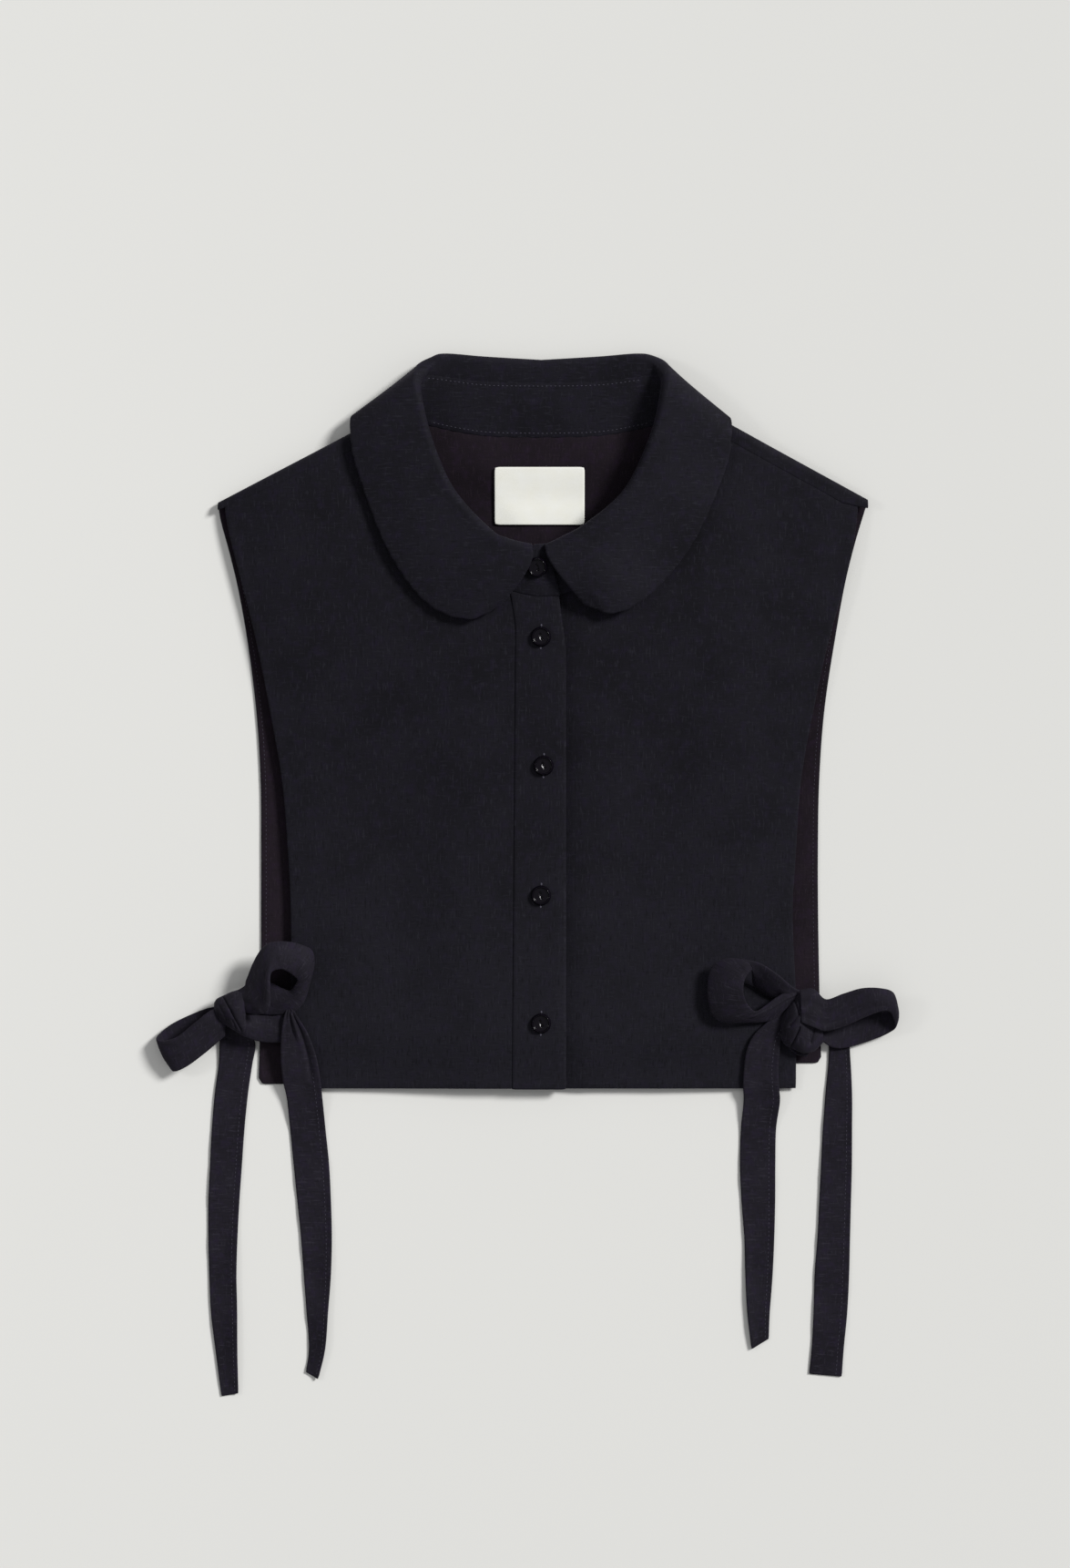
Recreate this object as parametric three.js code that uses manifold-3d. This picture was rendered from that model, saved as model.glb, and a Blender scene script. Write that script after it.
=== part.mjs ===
import * as THREE from "three";
import Module from "manifold-3d";

const wasm = await Module();
wasm.setup();

// Sizes in millimetres. The collar lies on its back: neck towards +Y, front facing +Z.
// Left and right are the viewer's, looking down at the front.
const cloth = 1.2;
const gap = 0.3;
const shoulderWidth = 356;
const shoulderY = 141;
const foldSlope = 0.51;
const hemY = -181;
const backHemLift = 3;
const neckHalf = 78;
const neckDepth = 98;
const neckTopY = 190;
const hemRise = 5.4;
const chestRise = 9.5;
const foldCloth = 2;
const turnRadius = 2.6;
const hover = 1.2;
const tieWidth = 20;
const knotLeft = { x: -169.7, y: -138.5 };
const knotRight = { x: 145.2, y: -141 };
const placketWidth = 26.5;
const placketEdge = 12.4;
const buttonDiameter = 11;
const buttonHeight = 2.6;
const buttonPitch = 70.5;
const topButtonY = 67.5;
const labelWidth = 49.5;
const labelHeight = 32;
const labelY = 145;
const labelCloth = 0.8;

// Levels that follow from the sizes
const halfShoulder = shoulderWidth / 2;
const frontFoot = cloth * 1.5 + gap;
const overLift = foldCloth + gap;
const neckBack = foldCloth + gap + foldCloth / 2;

const smooth = (t) => {
  const c = Math.min(1, Math.max(0, t));
  return c * c * (3 - 2 * c);
};
const lerp = (a, b, t) => a + (b - a) * t;

// Value of a column at a share of the way through a table, along a smooth curve
function curveThrough(values, share) {
  const last = values.length - 1;
  const at = Math.min(last, Math.max(0, share * last));
  const i = Math.min(last - 1, Math.floor(at));
  const t = at - i;
  const p1 = values[i];
  const p2 = values[i + 1];
  const p0 = i > 0 ? values[i - 1] : 2 * p1 - p2;
  const p3 = i < last - 1 ? values[i + 2] : 2 * p2 - p1;
  const a = 2 * p1;
  const b = p2 - p0;
  const c = 2 * p0 - 5 * p1 + 4 * p2 - p3;
  const d = 3 * p1 - p0 - 3 * p2 + p3;
  return 0.5 * (a + b * t + c * t * t + d * t * t * t);
}
const column = (table, name, share) => curveThrough(table.map((row) => row[name]), share);

function material(name, colour, roughness) {
  return new THREE.MeshStandardMaterial({
    name: name,
    color: new THREE.Color(colour),
    roughness: roughness,
    metalness: 0,
  });
}
const crepe = () => material("crepe", "#1b1a20", 0.85);
const lining = () => material("crepe inside", "#1a1418", 0.88);

// Closed body of one thickness round a grid of middle points. keep(i, j) says which cells are
// cloth, and a ring joins its last column to its first.
function shell(name, grid, thickness, surface, options = {}) {
  const keep = options.keep ?? (() => true);
  const ring = options.ring ?? false;
  const rows = grid.length;
  const cols = grid[0].length;
  const cells = [];
  for (let i = 0; i < rows - 1; i++) {
    for (let j = 0; j < (ring ? cols : cols - 1); j++) {
      if (keep(i, j)) cells.push([i, j]);
    }
  }
  const corner = ([i, j]) => {
    const n = (j + 1) % cols;
    return [i * cols + j, i * cols + n, (i + 1) * cols + n, (i + 1) * cols + j];
  };
  const point = (k) => grid[Math.floor(k / cols)][k % cols];
  const normals = new Map();
  const edges = new Map();
  for (const cell of cells) {
    const c = corner(cell);
    const side = point(c[2]).clone().sub(point(c[0]));
    const other = point(c[3]).clone().sub(point(c[1]));
    const facing = side.cross(other).normalize();
    for (let e = 0; e < 4; e++) {
      const sum = normals.get(c[e]) ?? new THREE.Vector3();
      normals.set(c[e], sum.add(facing));
      const reverse = `${c[(e + 1) % 4]} ${c[e]}`;
      if (edges.has(reverse)) edges.delete(reverse);
      else edges.set(`${c[e]} ${c[(e + 1) % 4]}`, [c[e], c[(e + 1) % 4]]);
    }
  }
  const places = [];
  const upper = new Map();
  for (const [k, sum] of normals) {
    const step = sum.normalize().multiplyScalar(thickness / 2);
    const p = point(k);
    upper.set(k, places.length / 3);
    places.push(p.x + step.x, p.y + step.y, p.z + step.z);
    places.push(p.x - step.x, p.y - step.y, p.z - step.z);
  }
  const faces = [];
  const quad = (a, b, c, d) => faces.push(a, b, c, a, c, d);
  for (const cell of cells) {
    const [a, b, c, d] = corner(cell).map((k) => upper.get(k));
    quad(a, b, c, d);
    quad(d + 1, c + 1, b + 1, a + 1);
  }
  for (const [from, to] of edges.values()) {
    const a = upper.get(from);
    const b = upper.get(to);
    quad(a, a + 1, b + 1, b);
  }
  const geometry = new THREE.BufferGeometry();
  geometry.setAttribute("position", new THREE.Float32BufferAttribute(places, 3));
  geometry.setIndex(faces);
  geometry.computeVertexNormals();
  const mesh = new THREE.Mesh(geometry, surface);
  mesh.name = name;
  return mesh;
}

// Side edges from the hem (0) to the shoulder tip (1), as shares of half the shoulder width
const sides = [
  { height: 0.0, back: 0.868, front: 0.776 },
  { height: 0.16, back: 0.863, front: 0.775 },
  { height: 0.32, back: 0.862, front: 0.773 },
  { height: 0.48, back: 0.863, front: 0.79 },
  { height: 0.64, back: 0.882, front: 0.827 },
  { height: 0.8, back: 0.914, front: 0.882 },
  { height: 0.92, back: 0.962, front: 0.948 },
  { height: 1.0, back: 0.992, front: 0.985 },
];
function sideAt(name, y) {
  const share = smoothless((y - hemY) / (shoulderY - hemY));
  return halfShoulder * betweenRows(sides, "height", name, share);
}
const smoothless = (t) => Math.min(1, Math.max(0, t));
function betweenRows(table, key, name, value) {
  let i = 0;
  while (i < table.length - 2 && table[i + 1][key] < value) i++;
  const t = (value - table[i][key]) / (table[i + 1][key] - table[i][key]);
  return lerp(table[i][name], table[i + 1][name], smoothless(t));
}

// Line of the shoulder fold, and how far the seam stands in front of it
const foldY = (x) => shoulderY + foldSlope * (halfShoulder - Math.abs(x));
const seamDrop = (x) => lerp(4, 11, smoothless((halfShoulder - Math.abs(x)) / 100));

// Middle height of the back cloth: flat on the floor, lifted over the collar fall at the neck
function backZ(x, y) {
  const nearNeck = smooth((y - 140) / 26);
  const inside = 1 - smooth((Math.abs(x) - 1.36 * neckHalf) / 20);
  return lerp(cloth / 2, neckBack, nearNeck * inside);
}

// Middle height of the front cloth: its sides lie on the back, its chest stands clear
function frontZ(x, y) {
  const up = smooth((y + 60) / 160);
  const rise = lerp(hemRise, chestRise, up);
  const across = Math.min(1, Math.abs(x) / (0.99 * sideAt("front", y)));
  return frontFoot + rise * (1 - across ** 3.2);
}
const leftLift = (x) => overLift * smooth((x + 84) / 56);

// Neckline: from the middle of the back (0) to the front end (1)
const neckRows = [
  { seamAcross: 0.0, seamDown: 0.128, level: 0, topAcross: 0.0, topDown: -0.171, rise: 2.3 },
  { seamAcross: 0.4, seamDown: 0.118, level: 0, topAcross: 0.4, topDown: -0.176, rise: 2.4 },
  { seamAcross: 0.74, seamDown: 0.07, level: 0, topAcross: 0.7, topDown: -0.199, rise: 2.6 },
  { seamAcross: 0.94, seamDown: 0.02, level: 0.1, topAcross: 0.83, topDown: -0.215, rise: 3 },
  { seamAcross: 1.01, seamDown: -0.01, level: 0.5, topAcross: 0.873, topDown: -0.18, rise: 3 },
  { seamAcross: 1.0, seamDown: 0.07, level: 0.93, topAcross: 0.885, topDown: -0.1, rise: 3.2 },
  { seamAcross: 0.973, seamDown: 0.23, level: 1, topAcross: 0.83, topDown: 0.135, rise: 3.4 },
  { seamAcross: 0.854, seamDown: 0.52, level: 1, topAcross: 0.657, topDown: 0.442, rise: 3.4 },
  { seamAcross: 0.63, seamDown: 0.776, level: 1, topAcross: 0.38, topDown: 0.673, rise: 3.4 },
  { seamAcross: 0.333, seamDown: 0.943, level: 1, topAcross: 0.205, topDown: 0.745, rise: 3.4 },
  { seamAcross: 0.09, seamDown: 0.996, level: 1, topAcross: 0.06, topDown: 0.765, rise: 3.4 },
  { seamAcross: -0.155, seamDown: 0.99, level: 1, topAcross: -0.12, topDown: 0.84, rise: 2.6 },
];

// Collar fall on the same stations: inner leg, fold direction from under to over, outer edge
const fallRows = [
  { leg: 9.0, fold: 0, edgeAcross: 0.0, edgeDown: 0.173, level: 0, bulge: 0 },
  { leg: 10.2, fold: 0, edgeAcross: 0.55, edgeDown: 0.165, level: 0, bulge: 0 },
  { leg: 9.0, fold: 5, edgeAcross: 1.0, edgeDown: 0.145, level: 0, bulge: 0 },
  { leg: 6.0, fold: 35, edgeAcross: 1.23, edgeDown: 0.09, level: 0.06, bulge: 0.4 },
  { leg: 4.0, fold: 90, edgeAcross: 1.314, edgeDown: 0.03, level: 0.5, bulge: 0.8 },
  { leg: 3.0, fold: 145, edgeAcross: 1.32, edgeDown: 0.12, level: 0.95, bulge: 1 },
  { leg: 1.4, fold: 178, edgeAcross: 1.282, edgeDown: 0.306, level: 1, bulge: 1 },
  { leg: 1.2, fold: 180, edgeAcross: 1.08, edgeDown: 0.745, level: 1, bulge: 1 },
  { leg: 1.2, fold: 180, edgeAcross: 0.81, edgeDown: 1.045, level: 1, bulge: 1.2 },
  { leg: 1.2, fold: 180, edgeAcross: 0.5, edgeDown: 1.15, level: 1, bulge: 1.6 },
  { leg: 1.2, fold: 180, edgeAcross: 0.29, edgeDown: 1.085, level: 1, bulge: 1.8 },
];

// Height of the neck seam for a level between the back cloth (0) and the front cloth (1)
function seamHeight(x, y, level, side) {
  const over = side < 0 ? leftLift(x) : 0;
  return lerp(neckBack, frontZ(x, Math.min(y, neckTopY - 6)) + over, level);
}

// Bottom and top points of the stand at a share of the half neckline, on one side
function standRail(share, side) {
  const across = column(neckRows, "seamAcross", share) * neckHalf * side;
  const down = neckTopY - column(neckRows, "seamDown", share) * neckDepth;
  const topX = column(neckRows, "topAcross", share) * neckHalf * side;
  const topY = neckTopY - column(neckRows, "topDown", share) * neckDepth;
  const level = smoothless(column(neckRows, "level", share));
  const z = seamHeight(across, down, level, side);
  const rise = column(neckRows, "rise", share);
  return {
    seam: new THREE.Vector3(across, down, z),
    top: new THREE.Vector3(topX, topY, z + rise),
  };
}

function collarStand() {
  const steps = 25;
  const around = [];
  for (let k = steps; k >= 0; k--) around.push(standRail(k / steps, 1));
  for (let k = 1; k <= steps; k++) around.push(standRail(k / steps, -1));
  const grid = [0, 0.5, 1].map((t) => around.map((rail) => {
    const p = rail.seam.clone().lerp(rail.top, t);
    p.z += 0.5 * Math.sin(Math.PI * t);
    return p;
  }));
  return shell("collar_stand", grid, foldCloth, crepe());
}

// Row of points across the fall, from the stand's top round the roll to the outer edge
function fallSection(share, side) {
  const reach = (fallRows.length - 1) / (neckRows.length - 1);
  const rail = standRail(share * reach, side);
  const inward = rail.top.clone().sub(rail.seam).setZ(0).normalize();
  const outward = new THREE.Vector3(-inward.y, inward.x, 0);
  if (outward.x * side < 0 && share < 0.7) outward.negate();
  const angle = THREE.MathUtils.degToRad(Math.min(180, Math.max(0, column(fallRows, "fold", share))));
  const leg = column(fallRows, "leg", share);
  const level = smoothless(column(fallRows, "level", share));
  const start = rail.top.clone().addScaledVector(inward, 3 * gap);
  const innerEnd = rail.top.clone().addScaledVector(inward, leg);
  innerEnd.z += 0.9 * (1 - level) + 0.2;
  const radius = lerp((innerEnd.z - foldCloth / 2) / 2, turnRadius, smooth(level));
  const over = outward.clone().multiplyScalar(Math.sin(angle));
  over.z = -Math.cos(angle);
  const centre = innerEnd.clone().addScaledVector(over, radius);
  const points = [start];
  for (let k = 0; k <= 4; k++) {
    const turn = (Math.PI * k) / 4;
    const p = centre.clone().addScaledVector(over, -radius * Math.cos(turn));
    points.push(p.addScaledVector(inward, radius * Math.sin(turn)));
  }
  const edgeX = column(fallRows, "edgeAcross", share) * neckHalf * side;
  const edgeY = neckTopY - column(fallRows, "edgeDown", share) * neckDepth;
  const lying = frontZ(edgeX, Math.min(edgeY, neckTopY - 6)) + (side < 0 ? leftLift(edgeX) : 0);
  const aboveFront = lying + cloth / 2 + gap + foldCloth / 2 + hover;
  const edge = new THREE.Vector3(edgeX, edgeY, lerp(foldCloth / 2, aboveFront, level));
  const last = points[points.length - 1];
  const bulge = column(fallRows, "bulge", share);
  const ending = smooth((share - 0.9) / 0.1);
  for (let k = 1; k <= 4; k++) {
    const t = k / 4;
    const p = last.clone().lerp(edge, t);
    p.addScaledVector(over, bulge * Math.sin(Math.PI * t));
    p.x -= side * 4 * ending * Math.sin(Math.PI * Math.sqrt(t));
    p.z = Math.max(p.z, foldCloth / 2);
    points.push(p);
  }
  return points;
}

function collarFall() {
  const steps = 25;
  const around = [];
  for (let k = steps; k >= 0; k--) around.push(fallSection(k / steps, 1));
  for (let k = 1; k <= steps; k++) around.push(fallSection(k / steps, -1));
  const grid = around[0].map((_, row) => around.map((points) => points[row]));
  return shell("collar_fall", grid, foldCloth, crepe());
}

// Y of the back cloth's neck edge, a gap short of the stand
function backNeckY(x) {
  const share = Math.abs(x) / neckHalf;
  const down = betweenRows(neckRows.slice(0, 5), "seamAcross", "seamDown", share);
  return neckTopY - down * neckDepth - 3 * gap;
}

// Back cloth from the hem to the neck, with both shoulders curled over to the front
function backPanel() {
  const half = [0, 0.12, 0.22, 0.31, 0.39, 0.462, 0.51, 0.58, 0.68, 0.78, 0.88, 0.95, 1];
  const shares = [...half.slice(1).reverse().map((s) => -s), ...half];
  const heights = [0, 0.2, 0.4, 0.6, 0.75, 0.84, 0.88, 0.92, 0.96, 1];
  const curls = [0.2, 0.4, 0.6, 0.8, 1];
  const neckColumn = 0.461;
  const grid = [];
  const topOf = (share) => {
    const x = share * 0.992 * halfShoulder;
    return Math.abs(share) > neckColumn ? foldY(x) : backNeckY(x);
  };
  const curlOf = (share) => {
    const x = share * 0.992 * halfShoulder;
    const under = backZ(x, foldY(x));
    const over = Math.max(frontZ(x, foldY(x) - seamDrop(x)), under + 2 * cloth);
    return { under: under, over: over, radius: (over - under) / 2 };
  };
  for (const v of heights) {
    grid.push(shares.map((share) => {
      const radius = Math.abs(share) > neckColumn ? curlOf(share).radius : 0;
      const y = lerp(hemY + backHemLift, topOf(share) - radius, v);
      const x = share * sideAt("back", y);
      return new THREE.Vector3(x, y, backZ(x, y));
    }));
  }
  for (const c of curls) {
    grid.push(shares.map((share) => {
      const curl = curlOf(share);
      const x = share * sideAt("back", foldY(halfShoulder));
      const turn = Math.PI * Math.min(1, c / 0.8);
      const y = foldY(x) - curl.radius + curl.radius * Math.sin(turn);
      const z = (curl.under + curl.over) / 2 - curl.radius * Math.cos(turn);
      const past = c > 0.8 ? seamDrop(x) - curl.radius : 0;
      return new THREE.Vector3(x, y - past, z);
    }));
  }
  const middle = shares.length - 1;
  const keep = (i, j) => {
    const inner = Math.min(Math.abs(shares[j]), Math.abs(shares[Math.min(j + 1, middle)]));
    return i < heights.length - 1 || inner > neckColumn;
  };
  return shell("back_panel", grid, cloth, lining(), { keep: keep });
}

// Share of the half neckline at which the seam crosses a distance from the middle
function seamShareAt(across) {
  let low = 0.55;
  let high = 1;
  for (let k = 0; k < 30; k++) {
    const share = (low + high) / 2;
    if (column(neckRows, "seamAcross", share) * neckHalf > across) low = share;
    else high = share;
  }
  return low;
}

// Point of the neck seam moved out from the neck, where a front's cloth ends
function besideSeam(share, side) {
  const rail = standRail(share, side);
  const outward = rail.seam.clone().sub(rail.top).setZ(0).normalize();
  return rail.seam.clone().addScaledVector(outward, 3 * gap);
}

// Top edge of a front: along the shoulder seam from the tip (0), then down the neckline to (1)
function frontTop(share, side, centreX) {
  const turnAt = 0.36;
  const neckStart = 0.47;
  if (share <= turnAt) {
    const inner = besideSeam(neckStart, 1).x;
    const x = lerp(0.972 * halfShoulder, inner, share / turnAt);
    return { x: x * side, y: foldY(x) - seamDrop(x) - gap };
  }
  const t = (share - turnAt) / (1 - turnAt);
  const end = seamShareAt(side * centreX);
  const point = besideSeam(lerp(neckStart, end, t), side);
  const high = foldY(point.x) - seamDrop(point.x) - gap;
  return { x: t === 1 ? centreX : point.x, y: Math.min(point.y, high) };
}

// One front cloth between its side edge and a straight line near the middle
function frontPanel(name, side, centreX) {
  const shares = [0, 0.05, 0.12, 0.24, 0.36, 0.42, 0.49, 0.57, 0.65, 0.73, 0.81, 0.9, 1];
  const heights = [0, 0.16, 0.32, 0.48, 0.64, 0.76, 0.88, 1];
  const grid = heights.map((v) => shares.map((share) => {
    const top = frontTop(share, side, centreX);
    const hemX = lerp(side * sideAt("front", hemY), centreX, share ** 0.85);
    const y = lerp(hemY, top.y, v);
    const straight = lerp(hemX, top.x, v);
    const sideTop = frontTop(0, side, centreX);
    const sideStraight = lerp(side * sideAt("front", hemY), sideTop.x, v);
    const bend = side * sideAt("front", lerp(hemY, sideTop.y, v)) * 0.995 - sideStraight;
    const x = straight + bend * (1 - share) ** 1.5 * (1 - v ** 6);
    const lift = side < 0 ? leftLift(x) : 0;
    return new THREE.Vector3(x, y, frontZ(x, y) + lift);
  }));
  if (side > 0) grid.forEach((row) => row.reverse());
  return shell(name, grid, cloth, crepe());
}

function placket() {
  const left = placketEdge - placketWidth;
  const across = [0, 0.08, 0.5, 0.92, 1];
  const heights = [0, 0.14, 0.28, 0.42, 0.56, 0.7, 0.84, 0.94, 1];
  const grid = heights.map((v) => across.map((share) => {
    const x = lerp(left, placketEdge, share);
    const top = besideSeam(seamShareAt(Math.max(-x, -0.15 * neckHalf)), -1).y - gap;
    const y = lerp(hemY - 0.6, top, v);
    return new THREE.Vector3(x, y, frontZ(x, y) + overLift);
  }));
  return shell("placket", grid, foldCloth, crepe());
}

function neckLabel() {
  const across = [-0.5, -0.47, -0.2, 0.2, 0.47, 0.5];
  const up = [-0.5, -0.45, -0.2, 0.1, 0.3, 0.45, 0.5];
  const grid = up.map((v, i) => across.map((u, j) => {
    const corner = (i === 0 || i === up.length - 1) && (j === 0 || j === across.length - 1);
    const x = u * labelWidth * (corner ? 0.975 : 1);
    const y = labelY + v * labelHeight * (corner ? 0.965 : 1);
    return new THREE.Vector3(x, y, backZ(x, y) + cloth / 2 + 2 * gap + labelCloth / 2);
  }));
  return shell("neck_label", grid, labelCloth, material("label", "#e8e9e0", 0.8));
}

// Turned disc with a raised rim and two holes, its base on the cloth below
function buttonSolid() {
  const r = buttonDiameter / 2;
  const h = buttonHeight;
  const profile = [
    [0, 0], [0.78 * r, 0], [0.97 * r, 0.35 * h], [r, 0.62 * h], [0.9 * r, h],
    [0.76 * r, 0.92 * h], [0.64 * r, 0.62 * h], [0, 0.56 * h],
  ].map(([x, y]) => new THREE.Vector2(x, y));
  const turned = manifoldOf(new THREE.LatheGeometry(profile, 24).rotateX(Math.PI / 2));
  const drill = wasm.Manifold.cylinder(2 * h, 0.1 * r, 0.1 * r, 8, true);
  const above = drill.translate([0, 0.27 * r, h / 2]);
  const below = drill.translate([0, -0.27 * r, h / 2]);
  return turned.subtract(above).subtract(below);
}

function manifoldOf(geometry) {
  const found = new Map();
  const verts = [];
  const tris = [];
  const place = geometry.getAttribute("position");
  const index = geometry.getIndex();
  for (let i = 0; i < index.count; i += 3) {
    const face = [0, 1, 2].map((k) => {
      const n = index.getX(i + k);
      const p = [place.getX(n), place.getY(n), place.getZ(n)];
      const key = p.map((c) => Math.round(c * 1e4)).join();
      if (!found.has(key)) {
        found.set(key, verts.length / 3);
        verts.push(...p);
      }
      return found.get(key);
    });
    if (face[0] !== face[1] && face[1] !== face[2] && face[0] !== face[2]) tris.push(...face);
  }
  return new wasm.Manifold(new wasm.Mesh({
    numProp: 3,
    vertProperties: new Float32Array(verts),
    triVerts: new Uint32Array(tris),
  }));
}

function buttonAt(number, x, y, z, tilt) {
  const solid = buttonSolid().getMesh();
  const geometry = new THREE.BufferGeometry();
  geometry.setAttribute("position", new THREE.Float32BufferAttribute(solid.vertProperties, 3));
  geometry.setIndex(Array.from(solid.triVerts));
  geometry.computeVertexNormals();
  const mesh = new THREE.Mesh(geometry, material("button", "#060608", 0.15));
  mesh.rotation.x = tilt;
  mesh.position.set(x, y, z);
  mesh.name = `button_${number}`;
  return mesh;
}

function buttons() {
  const standY = neckTopY - neckDepth * 0.88;
  const slope = Math.atan(3.6 / (0.21 * neckDepth));
  const onStand = frontZ(0, neckTopY - neckDepth) + overLift + 2.6 + foldCloth / 2 + 1.2 * gap;
  const list = [buttonAt(1, -1, standY, onStand, slope)];
  for (let k = 0; k < 4; k++) {
    const y = topButtonY - k * buttonPitch;
    const z = frontZ(0, y) + overLift + foldCloth / 2 + 1.2 * gap;
    list.push(buttonAt(k + 2, 0, y, z, 0));
  }
  return list;
}

// Flat strap between two edges, each row a station in shares of the tie width from the knot
function strap(name, knot, rows, steps) {
  const grid = [];
  for (let k = 0; k <= steps; k++) {
    const share = k / steps;
    const at = (column_) => column(rows, column_, share) * tieWidth;
    const a = new THREE.Vector3(knot.x + at("ax"), knot.y + at("ay"), at("az"));
    const b = new THREE.Vector3(knot.x + at("bx"), knot.y + at("by"), at("bz"));
    a.z = Math.max(a.z, cloth / 2);
    b.z = Math.max(b.z, cloth / 2);
    grid.push([a, a.clone().lerp(b, 0.5), b]);
  }
  return shell(name, grid, cloth, crepe());
}

// Wrap of the knot: an oval sleeve, its open ends facing the loops
function knotSleeve(name, knot, turn, length, breadth, height, lift) {
  const grid = [-0.5, 0, 0.5].map((along) => {
    const ring = [];
    for (let k = 0; k < 12; k++) {
      const angle = (2 * Math.PI * k) / 12;
      const pinch = 1 - 0.12 * Math.abs(along) * 2;
      const p = new THREE.Vector3(
        along * length * tieWidth,
        0.5 * breadth * pinch * tieWidth * Math.cos(angle),
        (0.5 * height * Math.sin(angle) + lift) * tieWidth,
      );
      p.applyAxisAngle(new THREE.Vector3(0, 0, 1), THREE.MathUtils.degToRad(turn));
      ring.push(p.add(new THREE.Vector3(knot.x, knot.y, 0)));
    }
    return ring;
  });
  return shell(name, grid, cloth, crepe(), { ring: true });
}

// Edges of each strap: a is one edge and b the other, in shares of the tie width
const leftUpperLoop = [
  { ax: 0.16, ay: 0.38, az: 0.45, bx: 0.34, by: 0.08, bz: 0.47 },
  { ax: 0.62, ay: 0.42, az: 0.5, bx: 1.08, by: 0.62, bz: 0.78 },
  { ax: 0.46, ay: 0.85, az: 0.46, bx: 1.1, by: 0.98, bz: 0.8 },
  { ax: 0.66, ay: 1.4, az: 0.42, bx: 1.16, by: 1.16, bz: 0.78 },
  { ax: 1.05, ay: 1.85, az: 0.4, bx: 1.38, by: 1.2, bz: 0.76 },
  { ax: 1.6, ay: 1.95, az: 0.4, bx: 1.62, by: 1.12, bz: 0.72 },
  { ax: 2.1, ay: 1.68, az: 0.38, bx: 1.8, by: 0.95, bz: 0.62 },
  { ax: 2.2, ay: 1.22, az: 0.36, bx: 1.76, by: 0.75, bz: 0.55 },
  { ax: 2.08, ay: 0.72, az: 0.36, bx: 1.6, by: 0.6, bz: 0.5 },
  { ax: 1.8, ay: 0.26, az: 0.36, bx: 1.42, by: 0.55, bz: 0.46 },
  { ax: 1.3, ay: 0.14, az: 0.36, bx: 1.22, by: 0.52, bz: 0.42 },
  { ax: 0.72, ay: 0.12, az: 0.32, bx: 0.7, by: 0.46, bz: 0.34 },
  { ax: 0.36, ay: 0.02, az: 0.26, bx: 0.24, by: 0.28, bz: 0.26 },
];
const leftOuterLoop = [
  { ax: -0.42, ay: 0.12, az: 0.42, bx: -0.3, by: -0.7, bz: 0.4 },
  { ax: -1.08, ay: -0.36, az: 0.56, bx: -0.83, by: -1.12, bz: 0.5 },
  { ax: -1.75, ay: -0.7, az: 0.5, bx: -1.38, by: -1.46, bz: 0.46 },
  { ax: -1.98, ay: -0.78, az: 0.3, bx: -1.58, by: -1.52, bz: 0.28 },
  { ax: -1.8, ay: -0.56, az: 0.06, bx: -1.4, by: -1.34, bz: 0.06 },
  { ax: -1.15, ay: -0.18, az: 0.08, bx: -0.85, by: -0.96, bz: 0.06 },
  { ax: -0.56, ay: 0.12, az: 0.2, bx: -0.44, by: -0.56, bz: 0.16 },
];
const leftFrontRoot = [
  { ax: 1.56, ay: -0.05, az: 0.12, bx: 1.54, by: -0.75, bz: 0.12 },
  { ax: 1.3, ay: -0.05, az: 0.16, bx: 1.28, by: -0.75, bz: 0.16 },
  { ax: 0.9, ay: -0.06, az: 0.2, bx: 0.82, by: -0.72, bz: 0.2 },
  { ax: 0.56, ay: -0.06, az: 0.26, bx: 0.6, by: -0.58, bz: 0.26 },
];
const leftBackRoot = [
  { ax: 0.9, ay: 1.0, az: 0.1, bx: 1.1, by: 0.2, bz: 0.1 },
  { ax: 0.65, ay: 0.8, az: 0.1, bx: 0.85, by: 0.12, bz: 0.1 },
  { ax: 0.36, ay: 0.5, az: 0.16, bx: 0.52, by: 0.1, bz: 0.14 },
];
const leftOuterTail = [
  { ax: -0.22, ay: -0.44, az: 0.14, bx: 0.3, by: -0.6, bz: 0.14 },
  { ax: -0.4, ay: -1.2, az: 0.05, bx: 0.53, by: -1.2, bz: 0.05 },
  { ax: -0.52, ay: -2.6, az: 0.03, bx: 0.38, by: -2.6, bz: 0.03 },
  { ax: -0.64, ay: -4.4, az: 0.03, bx: 0.22, by: -4.4, bz: 0.03 },
  { ax: -0.68, ay: -6.0, az: 0.03, bx: 0.1, by: -6.0, bz: 0.06 },
  { ax: -0.62, ay: -7.6, az: 0.03, bx: 0.08, by: -7.6, bz: 0.12 },
  { ax: -0.48, ay: -9.2, az: 0.03, bx: 0.1, by: -9.2, bz: 0.16 },
  { ax: -0.3, ay: -10.55, az: 0.03, bx: 0.13, by: -10.45, bz: 0.14 },
];
const leftInnerTail = [
  { ax: 1.46, ay: 0.02, az: 0.22, bx: 1.92, by: 0.06, bz: 0.22 },
  { ax: 1.36, ay: -0.8, az: 0.26, bx: 2.12, by: -0.7, bz: 0.27 },
  { ax: 1.44, ay: -1.9, az: 0.29, bx: 2.38, by: -1.9, bz: 0.34 },
  { ax: 1.56, ay: -3.2, az: 0.03, bx: 2.52, by: -3.2, bz: 0.03 },
  { ax: 1.7, ay: -4.8, az: 0.03, bx: 2.64, by: -4.8, bz: 0.03 },
  { ax: 1.9, ay: -6.6, az: 0.03, bx: 2.7, by: -6.6, bz: 0.08 },
  { ax: 2.06, ay: -8.5, az: 0.03, bx: 2.6, by: -8.5, bz: 0.14 },
  { ax: 2.0, ay: -9.88, az: 0.03, bx: 2.33, by: -10.08, bz: 0.1 },
];
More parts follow.
